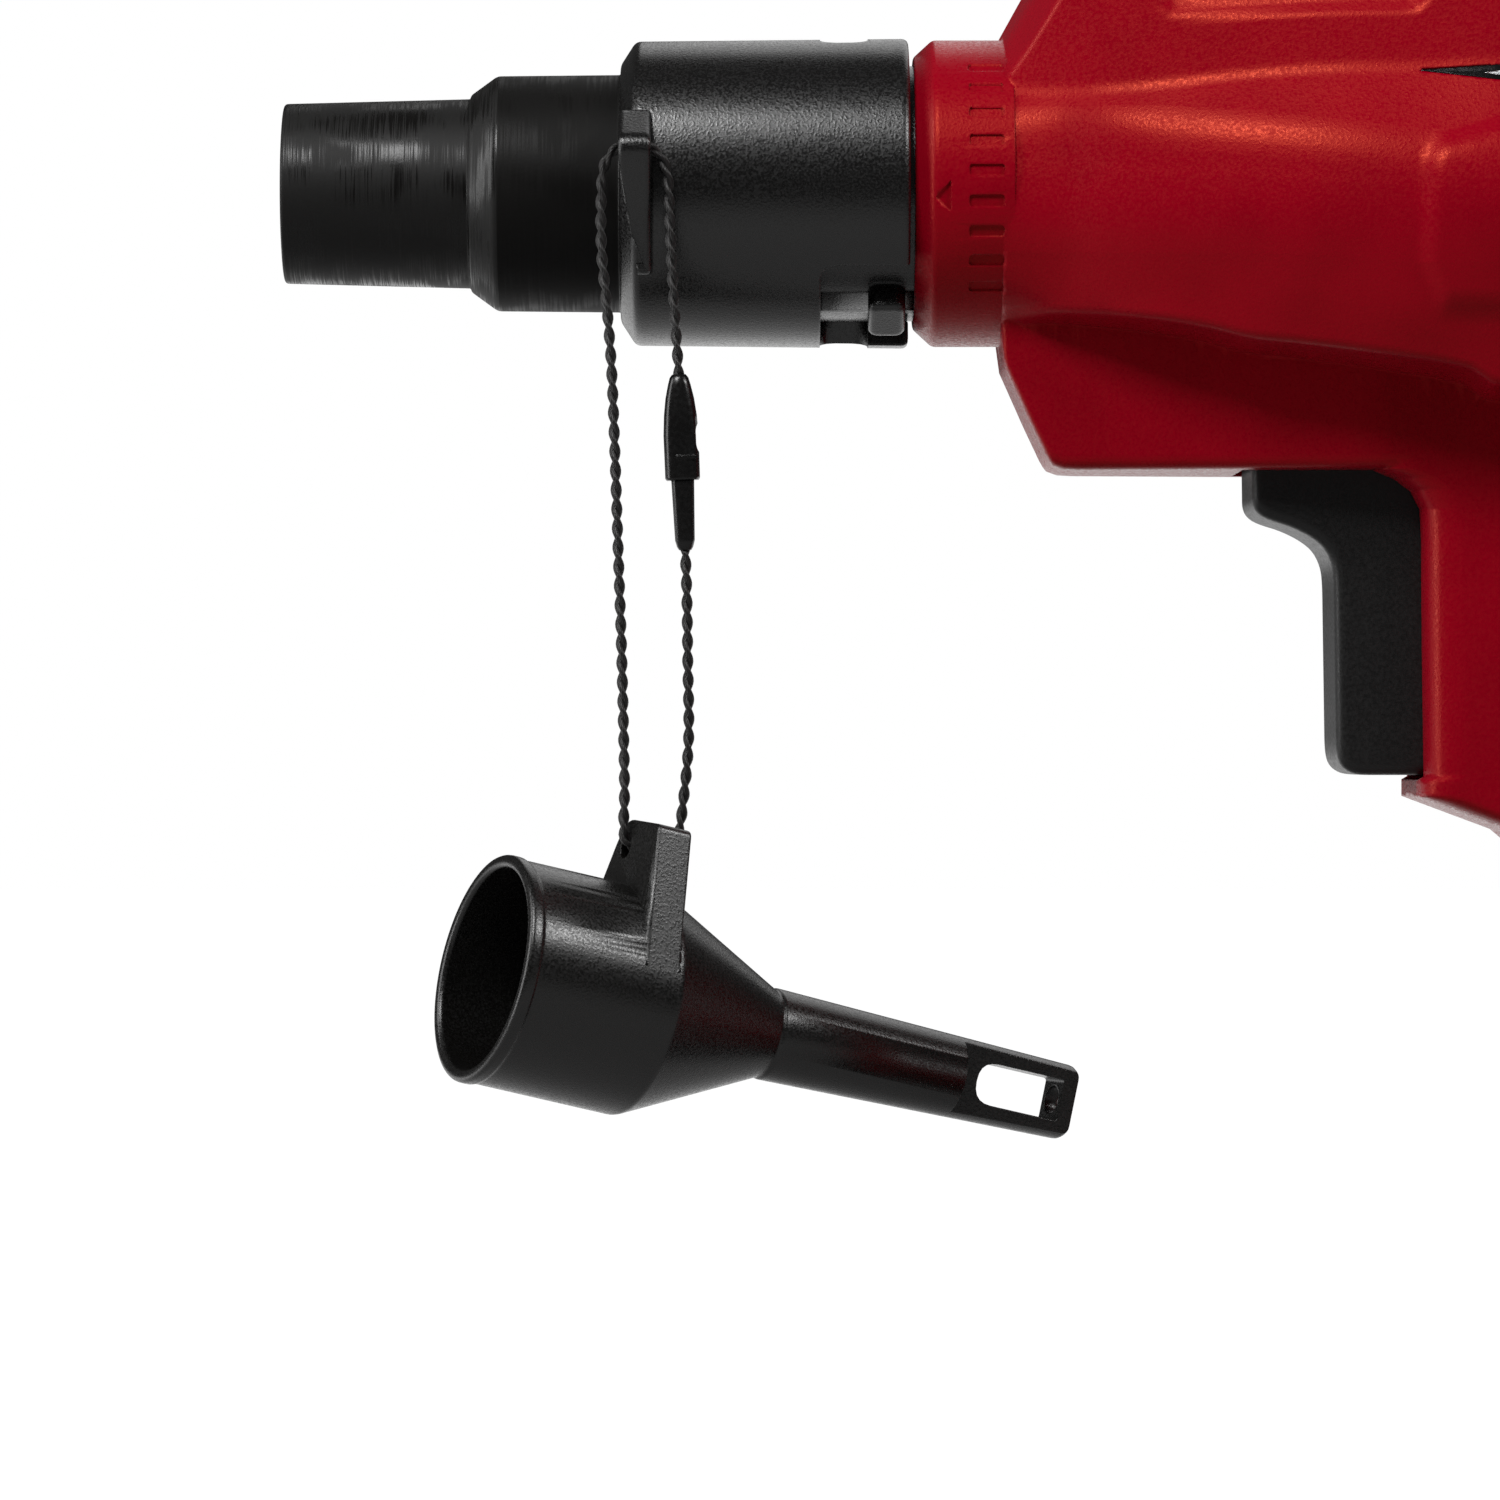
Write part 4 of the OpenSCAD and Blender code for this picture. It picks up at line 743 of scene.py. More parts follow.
# Edges of the barrel from the front back: (x, half width, height over the air axis)
edge_rows = {
    "top": [(-116.4, 0, 19.3), (-113, 0, 25.4), (-109, 0, 32.3), (-102.9, 0, 43.1), (-101.9, 0, 44),
            (0, 0, 44), (8, 0, 41), (20, 0, 22)],
    "bevel": [(-116.6, 7.2, 17), (-109.4, 9, 29.2), (-103.5, 11.8, 39.6), (-102.5, 12.2, 40.6),
            (-95.9, 15, 42.1), (-86.1, 16, 42), (-73.5, 17.5, 41.8), (-56, 19, 41.6), (0, 18.5, 44),
            (8, 17, 41), (20, 10, 22)],
    "crease": [(-116.9, 13.8, 12), (-113.6, 14.5, 16.4), (-109.7, 15.5, 22.5), (-103.3, 17, 32.5),
            (-96.1, 18.5, 37.3), (-86.4, 20, 37.6), (-73.8, 21.5, 37.4), (-56.4, 23, 37.2),
            (0, 22.5, 40), (8, 21.5, 36), (20, 18, 21)],
    "shoulder": [(-116.9, 14.1, 11.5), (-113.6, 15.4, 11.5), (-109.7, 17, 11.4), (-103.4, 19.5, 11.4),
            (-96.3, 21.5, 11.9), (-86.6, 23.2, 12.8), (-74.5, 25, 13.5), (-65.4, 26, 13.6),
            (-56.6, 27, 14), (-20, 29, 18), (0, 29, 18.5), (20, 25, 17)],
    "ridge": [(-117, 16.9, 7.7), (-109.8, 19.3, 7.6), (-103.5, 22.3, 7.4), (-96.5, 25.2, 6.4),
            (-87, 28.3, 5.6), (-75, 31, 4.1), (-66, 32.3, 2.8), (-57.2, 33, 2.3), (-20, 33.5, 4),
            (0, 33, 4), (20, 26.5, 4)],
    "waist": [(-117.1, 18.9, -4.4), (-109.9, 21, -4.6), (-103.6, 23.8, -4.8), (-96.5, 26.5, -5),
            (-87.1, 29.6, -5.2), (-75.1, 32.2, -5.4), (-66.1, 33.3, -5.5), (-57.3, 33.8, -5.5),
            (-20, 34, -3), (0, 33.6, -3), (20, 27, -3)],
    "under": [(-116.9, 14.9, -13), (-109.7, 17.3, -13.3), (-103.4, 20.5, -13.6), (-96.4, 23.5, -13.9),
            (-86.9, 26.8, -14.2), (-78.9, 29, -14.7), (-64.3, 31, -16.7), (-20, 31.5, -16),
            (0, 31, -16), (20, 25, -16)],
    "lip": [(-116.7, 7.6, -17.9), (-113.4, 12.5, -16.2), (-110.3, 15.6, -15.7), (-104.2, 18.9, -16.1),
            (-98.1, 22, -16.8), (-92, 24, -17.9), (-85.9, 25.6, -19.4), (-80.8, 26.6, -20),
            (-68.9, 28.4, -21.7), (-60.4, 29, -23.3), (-56.8, 28.5, -25.3), (-20, 27, -27),
            (0, 26, -27), (20, 22, -25)],
}
edge_radii = [0, 2.5, 1, 1.2, 3, 6, 3, 1, 2, 0]
barrel_x0 = -116.4
barrel_x1 = 20.0
pad_outline = rounded_loop([(-64.7, 4.7), (-66.5, 2), (-67, -10.2), (-64.5, -16.8), (-40, -17.5), (-4, -17),
                            (4, -9), (0, 1), (-57.2, 7.1)], 1.0)
pad_high = 0.9
pad_bevel = 2.0
recess_outline = rounded_loop([(-97.8, 22.4), (-95.9, 20.5), (-66.5, 20.6), (-64.6, 22.4), (-63.5, 35.5),
                               (-98.5, 35.5)], 1.0)
recess_deep = 1.0
recess_rim = 0.9


def depth_inside(outline, x, z):
    """How far each point lies inside the closed outline: its distance to the nearest side, with
    a minus sign outside, where a ray crosses the outline an even number of times."""
    near = np.full(x.shape, 1e9)
    inside = np.zeros(x.shape, bool)
    for (ax, az), (bx, bz) in zip(outline, np.roll(outline, -1, 0)):
        length = (bx - ax) ** 2 + (bz - az) ** 2
        t = np.clip(((x - ax) * (bx - ax) + (z - az) * (bz - az)) / max(length, 1e-9), 0, 1)
        near = np.minimum(near, np.hypot(x - ax - t * (bx - ax), z - az - t * (bz - az)))
        if az != bz:
            inside ^= ((az > z) != (bz > z)) & (x < ax + (z - az) * (bx - ax) / (bz - az))
    return np.where(inside, near, -near)


def flank_relief(x, z):
    """How far the skin stands out: the pad is proud behind its bevel, and the recess is sunk
    behind its rim."""
    pad = np.clip(depth_inside(pad_outline, x, z) / pad_bevel, 0, 1)
    recess = np.clip(depth_inside(recess_outline, x, z) / recess_rim, 0, 1)
    return pad_high * pad - recess_deep * recess


def barrel(grow=0.0, inside=0.0, relief=None):
    """The barrel's solid with its sides moved out by grow and both ends drawn in by inside."""
    stations, spacing = (250, 22) if relief else (172, 4)
    x = np.linspace(barrel_x0 + inside, barrel_x1 - inside, stations)
    edges = [between(x, rows) for rows in edge_rows.values()]
    edges.append(edges[-1] * [0.78, 1] - [0, 1.2])
    edges.append(edges[-1] * [0, 1] - [0, 0.6])
    return loft(x, np.stack(edges, 1), edge_radii, grow, spacing=spacing, relief=relief)


def keel(grow=0.0, inside=0.0):
    """The lower fairing: it widens from 10.5 mm at the nose to 17 mm and again under the pump."""
    rows = np.array([(-116.5, 9.4, -19), (-116.1, 10.3, -21.9), (-112.9, 10.9, -29), (-110.8, 11.2, -33.4),
                     (-110.2, 11.3, -34.3), (-108.8, 11.5, -34.8), (-107, 11.8, -34.9), (-70, 17, -34.9),
                     (-24, 17, -34.9), (-14, 22, -34.9), (17, 22, -34.9), (20, 20, -31)])
    nose = rows[0, 0] + inside
    x = np.unique(np.r_[np.linspace(nose, rows[-1, 0] - inside, 100), np.linspace(nose, -106, 24)])
    width = np.interp(x, rows[:, 0], rows[:, 1])
    low = np.interp(x, rows[:, 0], rows[:, 2])
    high = np.full_like(x, -10.0)
    middle = 0 * x
    outline = [(middle, high), (width, high), (width, low), (middle, low)]
    corners = np.stack([np.stack(corner, 1) for corner in outline], 1)
    return loft(x, corners, [0, 0.1, 1.9, 0], grow)


def upright_loft(rows, radii, grow, count):
    """A loft up the height from rows of (height, front x, back x, half width)."""
    r = np.array(rows, float)
    z = np.unique(np.r_[np.linspace(r[0, 0], r[-1, 0], count), r[:, 0]])
    front, back, width = (np.interp(z, r[:, 0], r[:, k]) for k in (1, 2, 3))
    middle = 0 * z
    outline = [(front, middle), (front, width), (back, width), (back, middle)]
    corners = np.stack([np.stack(corner, 1) for corner in outline], 1)
    return loft(z, corners, [0, *radii, 0], grow, along="z")


grip_rows = [(-141, -47.2, -1, 17), (-138, -47, -2, 17), (-118, -45, -6, 17), (-106, -45.4, -8, 17),
             (-92, -46, -11, 17), (-84, -48.5, -12.6, 17), (-79.5, -53.8, -13, 17),
             (-75.8, -63.7, -13, 17), (-75.3, -65, -13, 17), (-73.2, -65, -13, 17),
             (-72.8, -64.3, -13, 17), (-58, -64.5, -13, 17), (-46, -64.6, -8, 17),
             (-43.6, -64.6, -6.4, 17), (-39.8, -64.8, -3, 17), (-37.6, -65.9, -1.2, 17),
             (-36, -68, 0, 17), (-35, -70.5, 0, 17), (-30, -70.5, 0, 17)]
foot_rows = [(-143, -50, 54.5, 36), (-133, -50, 54.5, 36), (-130.5, -49.6, 50, 32.7),
             (-129, -48.6, 46.5, 30.7), (-124, -44, 4, 24)]


def grip(grow=0.0):
    """The grip's solid with its sides moved out by grow."""
    return upright_loft(grip_rows, (5, 12), grow, 90)


bore_fit = spigot_r + 0.05
ring_r = 19.1
front_ring = turned(rounded_loop([(ring_x, bore_fit), (ring_x, 16.9), (-124.8, ring_r), (-115, ring_r),
                                  (-115, bore_fit)], [0.1, 0.4, 0.5, 0.1, 0.1]))
back_ring = turned(rounded_loop([(18, bore_fit), (18, ring_r), (28, ring_r), (28, bore_fit)],
                                [0.1, 0.1, 0.8, 0.3]))
foot = upright_loft(foot_rows, (8, 8), 0, 30)
housing = new_piece("housing", barrel(relief=flank_relief), material=red_abs)
combine(housing, join=[keel(), grip(), foot])


def at_axis(x, z):
    """A place on the side view from x and the height over the air axis."""
    return (x, AXIS + z)


def prism(outline, low=-60, high=60):
    """An outline on the side view, carried through the tool."""
    return slab(np.array(outline) + [0, AXIS], low, high)


# Seats of the inlay and of the grip pad
seat_deep = 1.25
inlay_outline = rounded_loop([(-66.5, 13), (-56.7, 11.7), (-20, 7.5), (8, 5.5), (13, 13), (10, 20),
                              (-20, 17), (-56.7, 13.6)], 0.5)
grip_pad_outline = rounded_loop([(-30, -118), (4, -118), (4, -44), (-16, -44), (-26, -60)], [3, 1, 1, 3, 5])
inlay_seat = combine(prism(inlay_outline), cut=[barrel(-seat_deep)])
grip_seat = combine(prism(grip_pad_outline), cut=[grip(-seat_deep)])
combine(housing, cut=[inlay_seat, grip_seat])

# Inside: a wall of 2.6 mm, bosses for the screws, and the openings
wall = 2.6
screw_places = [(-98, 34), (-66, 36), (9, 33), (-98, -28), (-21, -28), (-20, -72), (-29, -108), (48.5, -137)]
duct_seat = np.array([(-111, 1), (-111, 17.65), (-80, 21.15), (-57.8, 21.15), (-57.8, 1)], float)
hollow = combine(barrel(-wall, wall), join=[keel(-wall, wall), grip(-wall), turned(duct_seat)],
                 cut=[rod(at_axis(*place), 3.8, -40, 40, "y", 32) for place in screw_places])
tongue_top = 67.5
tongue_gap = tongue_top + 0.4
lens_x = (-52, -20)
lens_half = 12
lens_gap = 0.1
button_x = -12
button_places = {"minus": -10, "mode": 0, "plus": 10}
hose_x = 3
hose_z = -27.6
flange_r = spigot_r + 1.85
trigger_well = box(-86.6, -50, -10.4, 10.4, AXIS - 73.2, AXIS - 30)
tongue_ways = [box(-51, 42.5, -20.4, 20.4, 59, tongue_gap), box(-51, 42.5, -22.9, 22.9, 63.1, tongue_gap)]
lens_seat = slab(rounded_box(lens_x[0] - lens_gap, lens_x[1] + lens_gap, -lens_half - lens_gap,
                             lens_half + lens_gap, 2), AXIS + 36, AXIS + 45, 0, "z")
spigot_ways = [rod((0, AXIS), radius, low, high, "x", 144 if radius == bore_fit else 96)
               for radius, low, high in ((bore_fit, -130, -111), (flange_r, -113.1, -110.9),
                                         (bore_fit, 14, 22), (flange_r, 15.3, 17.5))]
hose_ways = [rod(at_axis(hose_x, hose_z), 5.3, 0, 60), rod(at_axis(hose_x, hose_z), 6.2, 26.9, 60)]
button_ways = [rod((button_x, y), 3.8, AXIS + 36, AXIS + 50, "z") for y in button_places.values()]
screw_ways = []
for place in screw_places:
    screw_ways += [rod(at_axis(*place), 1.8, -1, 60, "y", 32), rod(at_axis(*place), 3.4, 9, 60, "y", 32)]
combine(housing, cut=[hollow])
combine(housing, join=[front_ring, back_ring])
combine(housing, cut=[trigger_well, *tongue_ways, lens_seat, *spigot_ways, *hose_ways, *button_ways,
                      *screw_ways])

# Marks sunk 0.35 mm into the front ring: an arrow and a ladder of plain bars
mark_floor = ring_r - 0.35
arrow = rounded_loop([at_axis(-124.75, -1.9), at_axis(-122.9, 0.25), at_axis(-122.9, -3.5)], 0.2)
bar = slab(rounded_box(-120.6, -116.3, -0.75, 0.75, 0.5), 10, 40, 0, "z")
first_bar = -41
bar_step = 11.4
marks = [slab(arrow, -40, 40)] + [round_the_axis(bar, first_bar + bar_step * k) for k in range(9)]
band = turned(np.array([(-126, mark_floor), (-126, 21), (-116, 21), (-116, mark_floor)], float))
near_side = box(-140, 0, -40, 0, 150, 250)
combine(housing, cut=[combine(mark, keep=[band, near_side]) for mark in marks])

# The two shells, with a joint line 0.08 mm wide between them
split = 0.04
right_half = new_piece("housing_right_shell", box(-140, 80, split, 60, 40, 260), material=red_abs)
copy = bpy.data.objects.new("copy", housing.data.copy())
scene.collection.objects.link(copy)
combine(right_half, keep=[copy])
combine(housing, cut=[box(-140, 80, -split, 60, 40, 260)])
housing.name = "housing_left_shell"
ready(housing, "inflator_body", "red_abs", "housing_left")
ready(right_half, "inflator_body", "red_abs", "housing_right")


# ---------------------------------------------------------------------------
# Inlays: a gloss black strip of ABS set into each shoulder, with a fine silver foil line.
# ---------------------------------------------------------------------------
# ABS, moulded in a mirror-finished tool: black, with a hard clear gloss and a faint unevenness.
gloss_black = moulded("ABS, polished", "#0a0a0b", 0.12, 1.5, 0.004, Coat_Weight=0.4, spread=0.03)
# Hot-stamped foil: bright and slightly uneven.
foil = moulded("foil, hot stamped", "#d8dadc", 0.25, 0.6, 0.01, shade=0.9, Metallic=1.0)
foil_outline = rounded_loop([(-58.6, 12.6), (-56, 12.95), (-20, 12.9), (6, 13.6), (6, 12.6), (-20, 11.9),
                             (-57, 12.3)], 0.15)
for name, low, high in (("left", -60, -0.1), ("right", 0.1, 60)):
    inlay = new_piece(f"inlay_{name}", barrel(0.05), material=gloss_black)
    combine(inlay, keep=[prism(inlay_outline, low, high)], cut=[barrel(-1.2)])
    ready(inlay, "inflator_body", "gloss_black", f"badge_{name}")
    line = new_piece(f"inlay_line_{name}", barrel(0.1), material=foil)
    combine(line, keep=[prism(foil_outline, low, high)], cut=[barrel(-0.2)])
    ready(line, "inflator_body", "zinc_steel")


# ---------------------------------------------------------------------------
# Grip pad: soft rubber moulded over the back of the grip, with cross grooves for the palm.
# ---------------------------------------------------------------------------
# Thermoplastic rubber, blasted tool: dark grey, dull and slightly dusty, grain of 0.5 mm.
rubber = moulded("thermoplastic rubber, blasted", "#242426", 0.62, 0.5, 0.04, edge=0.4)
grip_pad = new_piece("grip_pad_moulding", grip(0.02), material=rubber)
groove_step = 6.0
grooves = []
for z in np.arange(-112, -52, groove_step):
    outline = rounded_loop([(-40, z), (8, z + 4), (8, z + 5.4), (-40, z + 1.4)], 0.3)
    grooves.append(prism(outline, -30, 30))
groove_cut = combine(grooves[0], join=grooves[1:])
combine(groove_cut, cut=[grip(-0.6)])
combine(grip_pad, keep=[prism(grip_pad_outline)], cut=[grip(-1.2), groove_cut])
ready(grip_pad, "inflator_body", "grip_rubber", "grip_pad")


# ---------------------------------------------------------------------------
# Trigger: black nylon, its front concave for the finger, its edges rounded by 1.3 mm. It slides
# straight back into the grip on a spring and presses the switch behind it.
# ---------------------------------------------------------------------------
# Nylon 6, moulded in a satin tool: black, with a soft gloss on its rounded edges.
trigger_black = moulded("nylon 6, moulded", "#0f0e0e", 0.45, 0.45, 0.02, spread=0.08)
trigger_outline = rounded_loop(
    [(-85.5, -31.5), (-85.4, -39.3), (-84.5, -40.5), (-82.9, -41.2), (-80.8, -41.8), (-78.3, -43),
     (-76.5, -44.4), (-75.5, -46.5), (-75.3, -48.8), (-75, -69.5), (-74.6, -71.3), (-73.4, -72.3),
     (-72, -72.6), (-56, -72.6), (-56, -31.5)],
    [2.4, 1, 1, 1, 1.2, 1.2, 1.2, 1.2, 1.2, 1.5, 1, 1, 1, 2.4, 2.4], 5)
trigger = new_piece("trigger_moulding", slab(trigger_outline + [0, AXIS], -10, 10, 1.3, "y", 6),
                    material=trigger_black)
combine(trigger, cut=[rod((0, AXIS - 52), 4, -60, -55, "x", 32)])
ready(trigger, "trigger", "black_satin", "trigger")


def metal(name, colour, roughness, stripe, length, depth, **surface):
    """Bare or plated metal: grain drawn out along its working direction, which breaks the
    reflection, and faint stains that dull it."""
    material, tree, shader = new_material(name, Metallic=1.0, **surface)
    place = add(tree, "ShaderNodeTexCoord").outputs["Object"]
    drawn = add(tree, "ShaderNodeMapping", {"Vector": place, "Scale": (1, stripe / length, stripe / length)})
    lines = add(tree, "ShaderNodeTexNoise",
                {"Vector": drawn.outputs[0], "Scale": per_mm(stripe), "Detail": 3.0})
    stains = add(tree, "ShaderNodeTexNoise", {"Vector": place, "Scale": per_mm(7), "Detail": 4.0})
    skin = two_tone(tree, stains.outputs["Fac"], shaded(colour, 0.8), colour, 0.35, 0.6)
    tree.links.new(skin, shader.inputs["Base Color"])
    dull = add(tree, "ShaderNodeMapRange",
               {"Value": stains.outputs["Fac"], "From Min": 0.35, "From Max": 0.65,
                "To Min": roughness + 0.08, "To Max": roughness - 0.05})
    tree.links.new(dull.outputs[0], shader.inputs["Roughness"])
    soft = add(tree, "ShaderNodeBevel", {"Radius": 0.2 * MM}, samples=4)
    bump = add(tree, "ShaderNodeBump",
               {"Height": lines.outputs["Fac"], "Distance": depth * MM, "Normal": soft.outputs[0]})
    tree.links.new(bump.outputs[0], shader.inputs["Normal"])
    return material


# Spring wire, drawn and oiled: a dark steel with the finest lines.
dress(metal("spring steel, drawn", "#8d9094", 0.3, 0.1, 2.0, 0.003), "trigger_spring", "latch_spring")
# Glass-filled polyester of switches and ducts: dark grey and dull.
dark_plastic = moulded("polyester, glass-filled", "#2a2a2c", 0.5, 0.4, 0.012)
dress(dark_plastic, "switch_module", "fan_duct", "terminal_block")


# ---------------------------------------------------------------------------
# Screws: zinc-plated steel, pan heads with a recess. The housing's are driven from the right side
# and the battery case's from below. The can of the motor has the same plating.
# ---------------------------------------------------------------------------
# Zinc plate, clear passivated: a cool grey with turning lines of 0.15 mm.
zinc = metal("steel, zinc plated", "#b4b8bd", 0.3, 0.15, 1.5, 0.004)
dress(zinc, "housing_screws", "battery_screws", "motor_can")


# ---------------------------------------------------------------------------
# Fan and motor: a nylon impeller on a brushed motor. The can is plated steel, the magnets are
# bare ferrite, and the armature is wound with enamelled copper.
# ---------------------------------------------------------------------------
# Nylon 6, natural, moulded: pale grey, with a waxy gloss.
waxy = moulded("nylon 6, natural", "#c9ccd0", 0.42, 0.6, 0.01, shade=0.95, Subsurface_Weight=0.05)
dress(waxy, "fan_impeller")
# Ferrite, ground: dark grey, with a fine even grain.
dress(moulded("ferrite, ground", "#45454a", 0.6, 0.3, 0.01), "motor_magnets")
# Enamelled copper wire of 0.4 mm, seen as turns side by side.
dress(metal("copper, enamelled", "#b06a35", 0.3, 0.4, 40.0, 0.12), "motor_armature")
# Ball-bearing steel, ground: bright, with the finest lines.
dress(metal("bearing steel, ground", "#c4c7cb", 0.2, 0.08, 3.0, 0.002), "motor_bearings", "crank_axle")


# ---------------------------------------------------------------------------
# High-pressure pump: brass pinion, acetal gear with its crank pin, die-cast aluminium crankcase,
# cylinder, head and piston, a fibre gasket, and a turned brass port for the hose on the right.
# ---------------------------------------------------------------------------
# Acetal, natural: milky white, slightly translucent, smooth.
acetal_white = moulded("acetal, natural", "#d8d2c0", 0.38, 0.7, 0.008, shade=0.95, Subsurface_Weight=0.1)
dress(acetal_white, "crank_gear", "cell_holders")
# Aluminium, die-cast and tumbled: a matt grey skin with a grain of 0.6 mm.
cast = moulded("aluminium, die-cast", "#b4b8bc", 0.45, 0.6, 0.03, shade=0.85, Metallic=1.0)
dress(cast, "crankcase", "cylinder", "cylinder_head", "piston")
# Pressed fibre: rust brown, rough with fibres of 0.4 mm.
dress(moulded("fibre, pressed", "#7a3b2a", 0.75, 0.4, 0.03, shade=0.6), "head_gasket")
# Brass, turned: yellow, with turning lines of 0.12 mm.
brass = metal("brass, turned", "#c9a24a", 0.24, 0.12, 3.0, 0.004)
dress(brass, "pinion")
thread_pitch = 0.9
crest_r = 4.75
root_r = 4.3
thread = [(21.9 + thread_pitch * k / 2, root_r if k % 2 else crest_r) for k in range(20)]
port_outline = [(15.6, 1.6), (15.6, 4.9), (27.1, 4.9), (27.1, 5.8), (30.8, 5.8), (31, 5.5), (31, 4.9)]
port_outline = np.array(port_outline + thread[::-1] + [(21.5, 1.6)], float)
hose_place = (hose_x, 0, AXIS + hose_z)
port = new_piece("hose_port_turned", placed(turned(port_outline, 96, 0.0), hose_place, 0, 90), material=brass)
ready(port, "inflator_body", "brass", "hose_port")


# ---------------------------------------------------------------------------
# Air intake: a black nylon spigot at the back, with bayonet pins like those in front, and a
# spoked grille that keeps fingers off the fan.
# ---------------------------------------------------------------------------
intake_outline = rounded_loop([(15.4, 13.4), (15.4, 17.7), (17.4, 17.7), (17.4, spigot_r), (28.5, spigot_r),
                               (28.5, 16.1), (34.2, 16.1), (34.2, spigot_r), (50, spigot_r), (50, 13.4)],
                              [0.2, 0.3, 0.3, 0.2, 0.1, 0.1, 0.1, 0.1, 1.0, 0.6], 5)
intake = new_piece("intake_spigot_tube", turned(intake_outline), material=nylon)
combine(intake, join=[bayonet_pin(28.1, 33.9, turn) for turn in pin_turns])
ready(intake, "inflator_body", "black_nylon", "intake_spigot")
rim = turned(rounded_loop([(21, 11.95), (21, 13.35), (24, 13.35), (24, 11.95)], [0.4, 0.2, 0.2, 0.6], 4), 96)
grille = new_piece("intake_grille_moulding", rim, material=dark_plastic)
spoke = slab(rounded_box(21.4, 23.6, -0.6, 0.6, 0.35, 4), 2, 12.4, 0, "z")
spokes = [round_the_axis(spoke, 60 * k) for k in range(6)]
rings = [turned(rounded_loop([(21.5, r), (21.5, r + 1), (23.5, r + 1), (23.5, r)], 0.3, 4), 72)
         for r in (5.6, 8.8)]
combine(grille, join=[rod((0, AXIS), 3, 21, 24, "x", 48, 0.8)] + spokes + rings)
ready(grille, "inflator_body", "dark_plastic", "intake_grille")


# ---------------------------------------------------------------------------
# Display: a liquid-crystal cell on the circuit board under a smoked lens, and three rubber
# buttons with plain minus, dot and plus signs, on top of the barrel.
# ---------------------------------------------------------------------------
# Epoxy board with green solder mask over copper tracks, 2 mm apart.
board_green, tree, shader = new_material("epoxy board, solder mask", Roughness=0.35)
place = add(tree, "ShaderNodeTexCoord").outputs["Object"]
tracks = add(tree, "ShaderNodeTexBrick",
             {"Vector": place, "Scale": per_mm(8), "Mortar Size": 0.03, "Mortar Smooth": 0.2,
              "Color1": linear("#17502b"), "Color2": linear("#1b5a31"), "Mortar": linear("#2f7a49")})
tree.links.new(tracks.outputs["Color"], shader.inputs["Base Color"])
bump = add(tree, "ShaderNodeBump", {"Height": tracks.outputs["Fac"], "Distance": 0.03 * MM})
tree.links.new(bump.outputs[0], shader.inputs["Normal"])
dress(board_green, "circuit_board", "battery_board")
# Glass of the cell over its reflector: grey green, satin.
dress(moulded("glass, liquid-crystal cell", "#4a564c", 0.2, 2.0, 0.002, shade=0.9), "lcd_display")
lens = new_piece("display_lens_moulding",
                 slab(rounded_box(*lens_x, -lens_half, lens_half, 2), AXIS + 42.1, AXIS + 43.7, 0.4, "z"),
                 material=gloss_black)
ready(lens, "inflator_body", "gloss_black", "display_lens")
# Silicone rubber: dark grey, soft and dull.
silicone = moulded("silicone rubber, moulded", "#2c2c2f", 0.55, 0.6, 0.01)
sign_floor = AXIS + 44.75
stroke = slab(rounded_box(button_x - 1.6, button_x + 1.6, -0.35, 0.35, 0.3), sign_floor, AXIS + 46, 0, "z")
stroke_across = (stroke[0][:, [1, 0, 2]] + [button_x, -button_x, 0], stroke[1])
dot = rod((button_x, 0), 0.9, sign_floor, AXIS + 46, "z", 24)
signs = {"minus": [stroke], "mode": [dot], "plus": [stroke, stroke_across]}
for name, y in button_places.items():
    cap = rod((button_x, y), 3.5, AXIS + 36.7, AXIS + 45, "z", 64, 0.7)
    key = new_piece(f"{name}_key", cap, material=silicone)
    for verts, faces in signs[name]:
        combine(key, cut=[(verts + [0, y, 0], faces)])
    ready(key, f"{name}_key", "button_rubber", f"{name}_button")
# Copper alloy, rolled and tinned at the contacts: warm, with rolling lines.
dress(metal("copper, rolled", "#c07c4a", 0.28, 0.15, 4.0, 0.004), "terminal_blades")


# ---------------------------------------------------------------------------
# Battery pack: ten cells in white holders between two black cases, joined by four screws. The
# case slides on its tongue, and a red button at the front releases it.
# ---------------------------------------------------------------------------
# Polycarbonate blend, spark-eroded: black, dull, with a grain of 0.5 mm.
pack_black = moulded("polycarbonate blend, spark-eroded", "#1b1b1d", 0.48, 0.5, 0.04, edge=0.35, spread=0.08)
pack_front = -50
pack_back = 55
pack_side = 38
case_wall = 2.2
pack_plan = rounded_box(pack_front, pack_back, -pack_side, pack_side, 9, 10)
inner_plan = rounded_box(pack_front + case_wall, pack_back - case_wall, -pack_side + case_wall,
                         pack_side - case_wall, 7, 10)
boss_places = [(x, y) for x in (-43.9, 48.9) for y in (-34.7, 34.7)]
boss_r = 2.1
pocket = box(-52, -44.1, -14.8, 14.8, 32.6, 64)
button_way = box(-52, -45.5, -13.4, 13.4, 34, 64)
lower_levels = [(0, 2.2), (0.3, 1.5), (0.9, 0.8), (1.7, 0.25), (2.8, 0), (45.6, 0), (46, 0.4)]
lower = new_piece("battery_case_lower_moulding", layered(pack_plan, lower_levels, "z"), material=pack_black)
bosses = [rod(place, boss_r, 0, 60, "z", 24) for place in boss_places]
hollow = combine(slab(inner_plan, case_wall, 47, 0, "z"), cut=[pocket] + bosses)
cuts = [hollow, button_way]
flute_step = 5.4
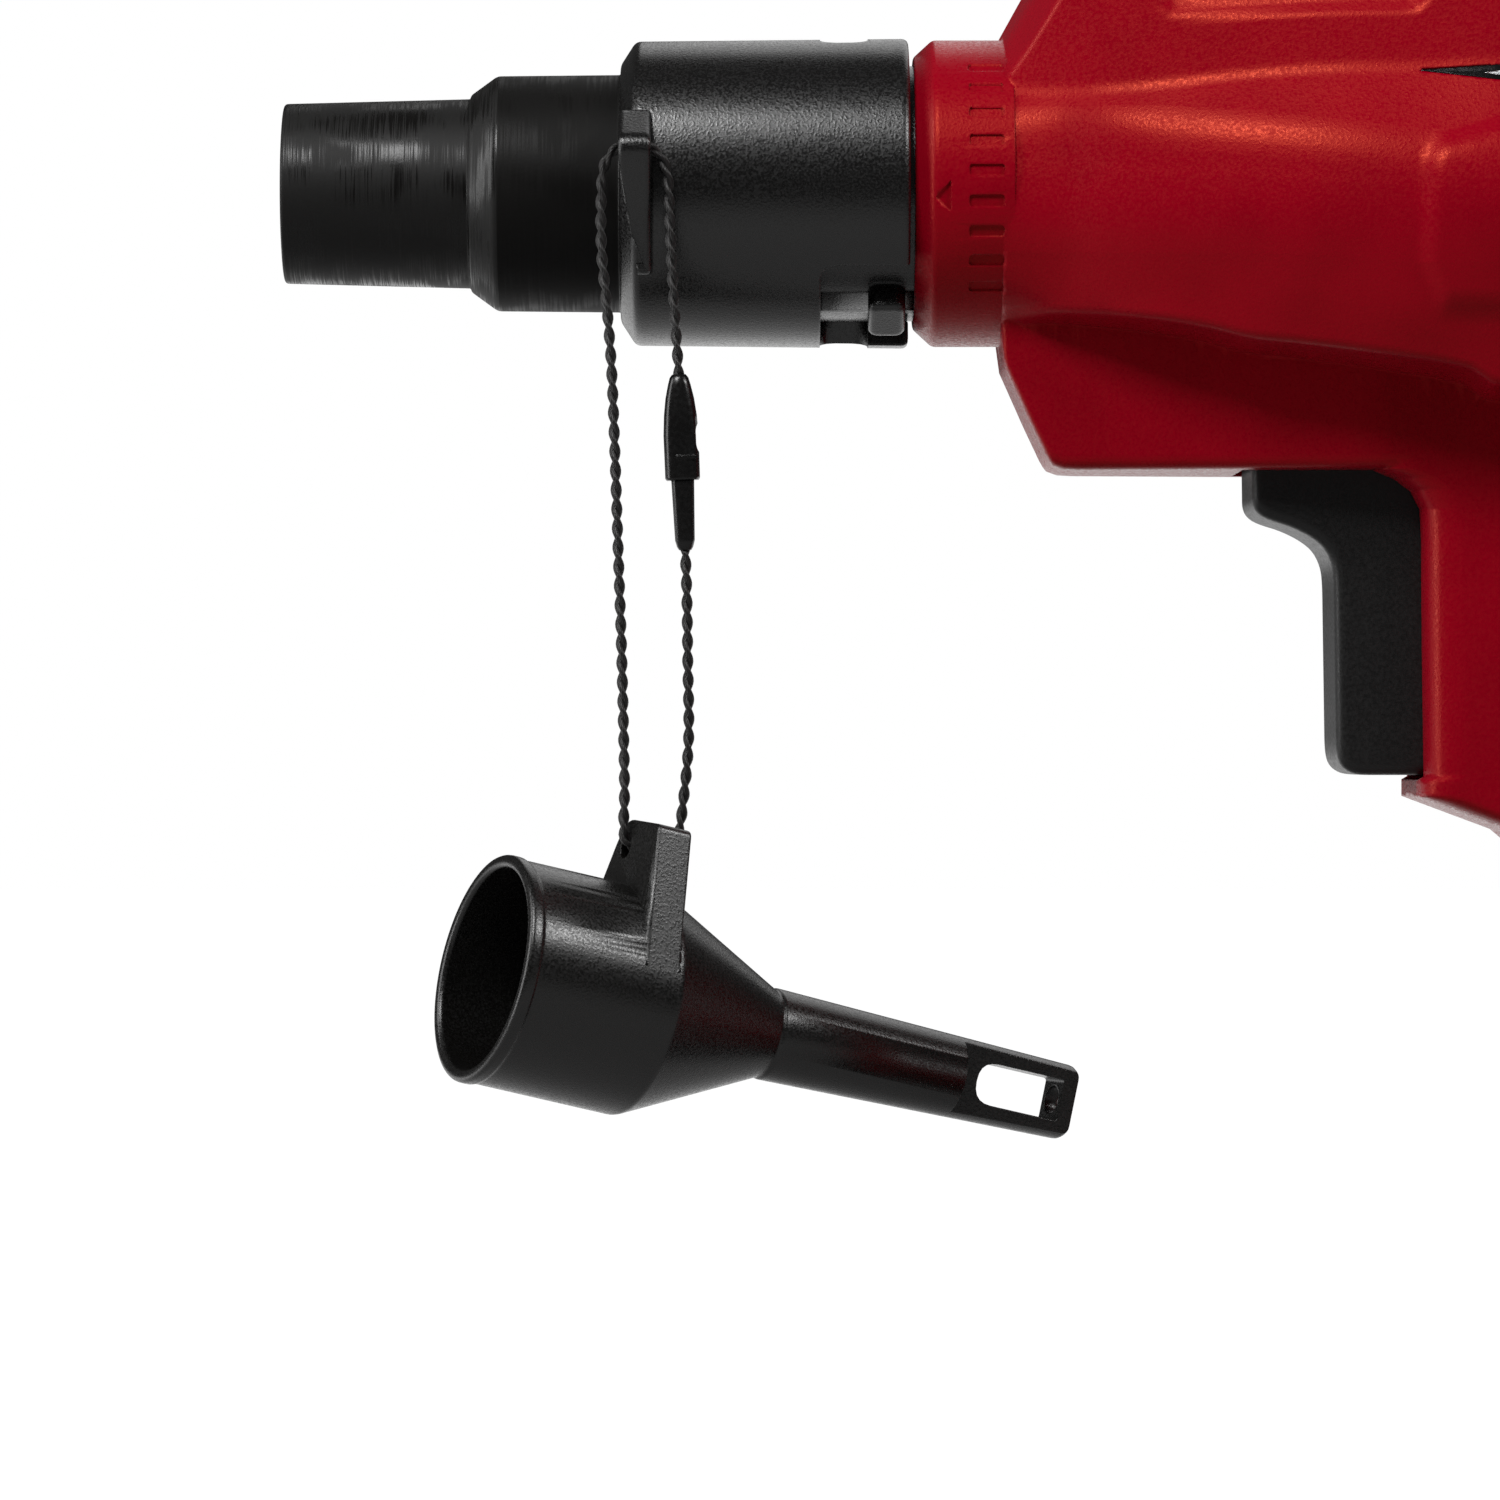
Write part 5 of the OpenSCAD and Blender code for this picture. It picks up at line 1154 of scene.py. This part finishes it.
flute_width = 1.8
flute_deep = 0.7
for x in np.arange(-30, 36, flute_step):
    for face in (-pack_side, pack_side):
        cuts.append(box(x, x + flute_width, face - flute_deep, face + flute_deep, 12, 33))
for face in (-pack_side - 0.2, pack_side + 0.2):
    cuts.append(box(-60, 60, face - 0.6, face + 0.6, 38, 39))
for place in boss_places:
    cuts += [rod(place, 1.3, -1, 60, "z", 24), rod(place, 2.2, -1, 4, "z", 24)]
combine(lower, cut=cuts)
ready(lower, "battery", "pack_black", "battery_case_lower")

upper_levels = [(46, 0.4), (46.4, 0), (56.8, 0), (58.3, 0.35), (59.2, 1), (59.7, 2)]
upper = new_piece("battery_case_upper_moulding", layered(pack_plan, upper_levels, "z"), material=pack_black)
tongue_outline = rounded_box(-43.5, 26.5, -22.5, 22.5, 2)
combine(upper, join=[box(-43.5, 26.5, -20, 20, 59, tongue_top),
                     slab(tongue_outline, 63.5, tongue_top, 0.3, "z")])
bosses = [rod(place, boss_r, 40, 60, "z", 24) for place in boss_places]
cuts = [combine(slab(inner_plan, 45, 57.5, 0, "z"), cut=[pocket] + bosses), button_way]
cuts += [box(16.5, 28, y - 0.9, y + 0.9, 61.4, 66.6) for y in (-12, 0, 12)]
cuts += [rod(place, 1.1, 45, 53, "z", 24) for place in boss_places]
combine(upper, cut=cuts)
ready(upper, "battery", "pack_black", "battery_case_upper")

release = new_piece("release_button_moulding",
                    slab(rounded_box(-13, 13, 38, 56.7, 2), -49.7, -46.1, 0.6, "x"), material=red_abs)
tooth = slab(rounded_box(-6, 6, 55, 59.7, 0.6, 4), -48.1, -46.1, 0.2, "x")
ribs = [slab(rounded_box(-9, 9, z, z + 1, 0.4, 4), -49.94, -49, 0, "x") for z in (42, 45, 48)]
combine(release, join=[tooth] + ribs)
ready(release, "release", "red_abs", "release_button")

# Shrink sleeve of the cells: blue film with a soft gloss and faint wrinkles.
dress(moulded("shrink sleeve, blue", "#2f6fb0", 0.3, 1.2, 0.02, shade=0.85), "battery_cells")
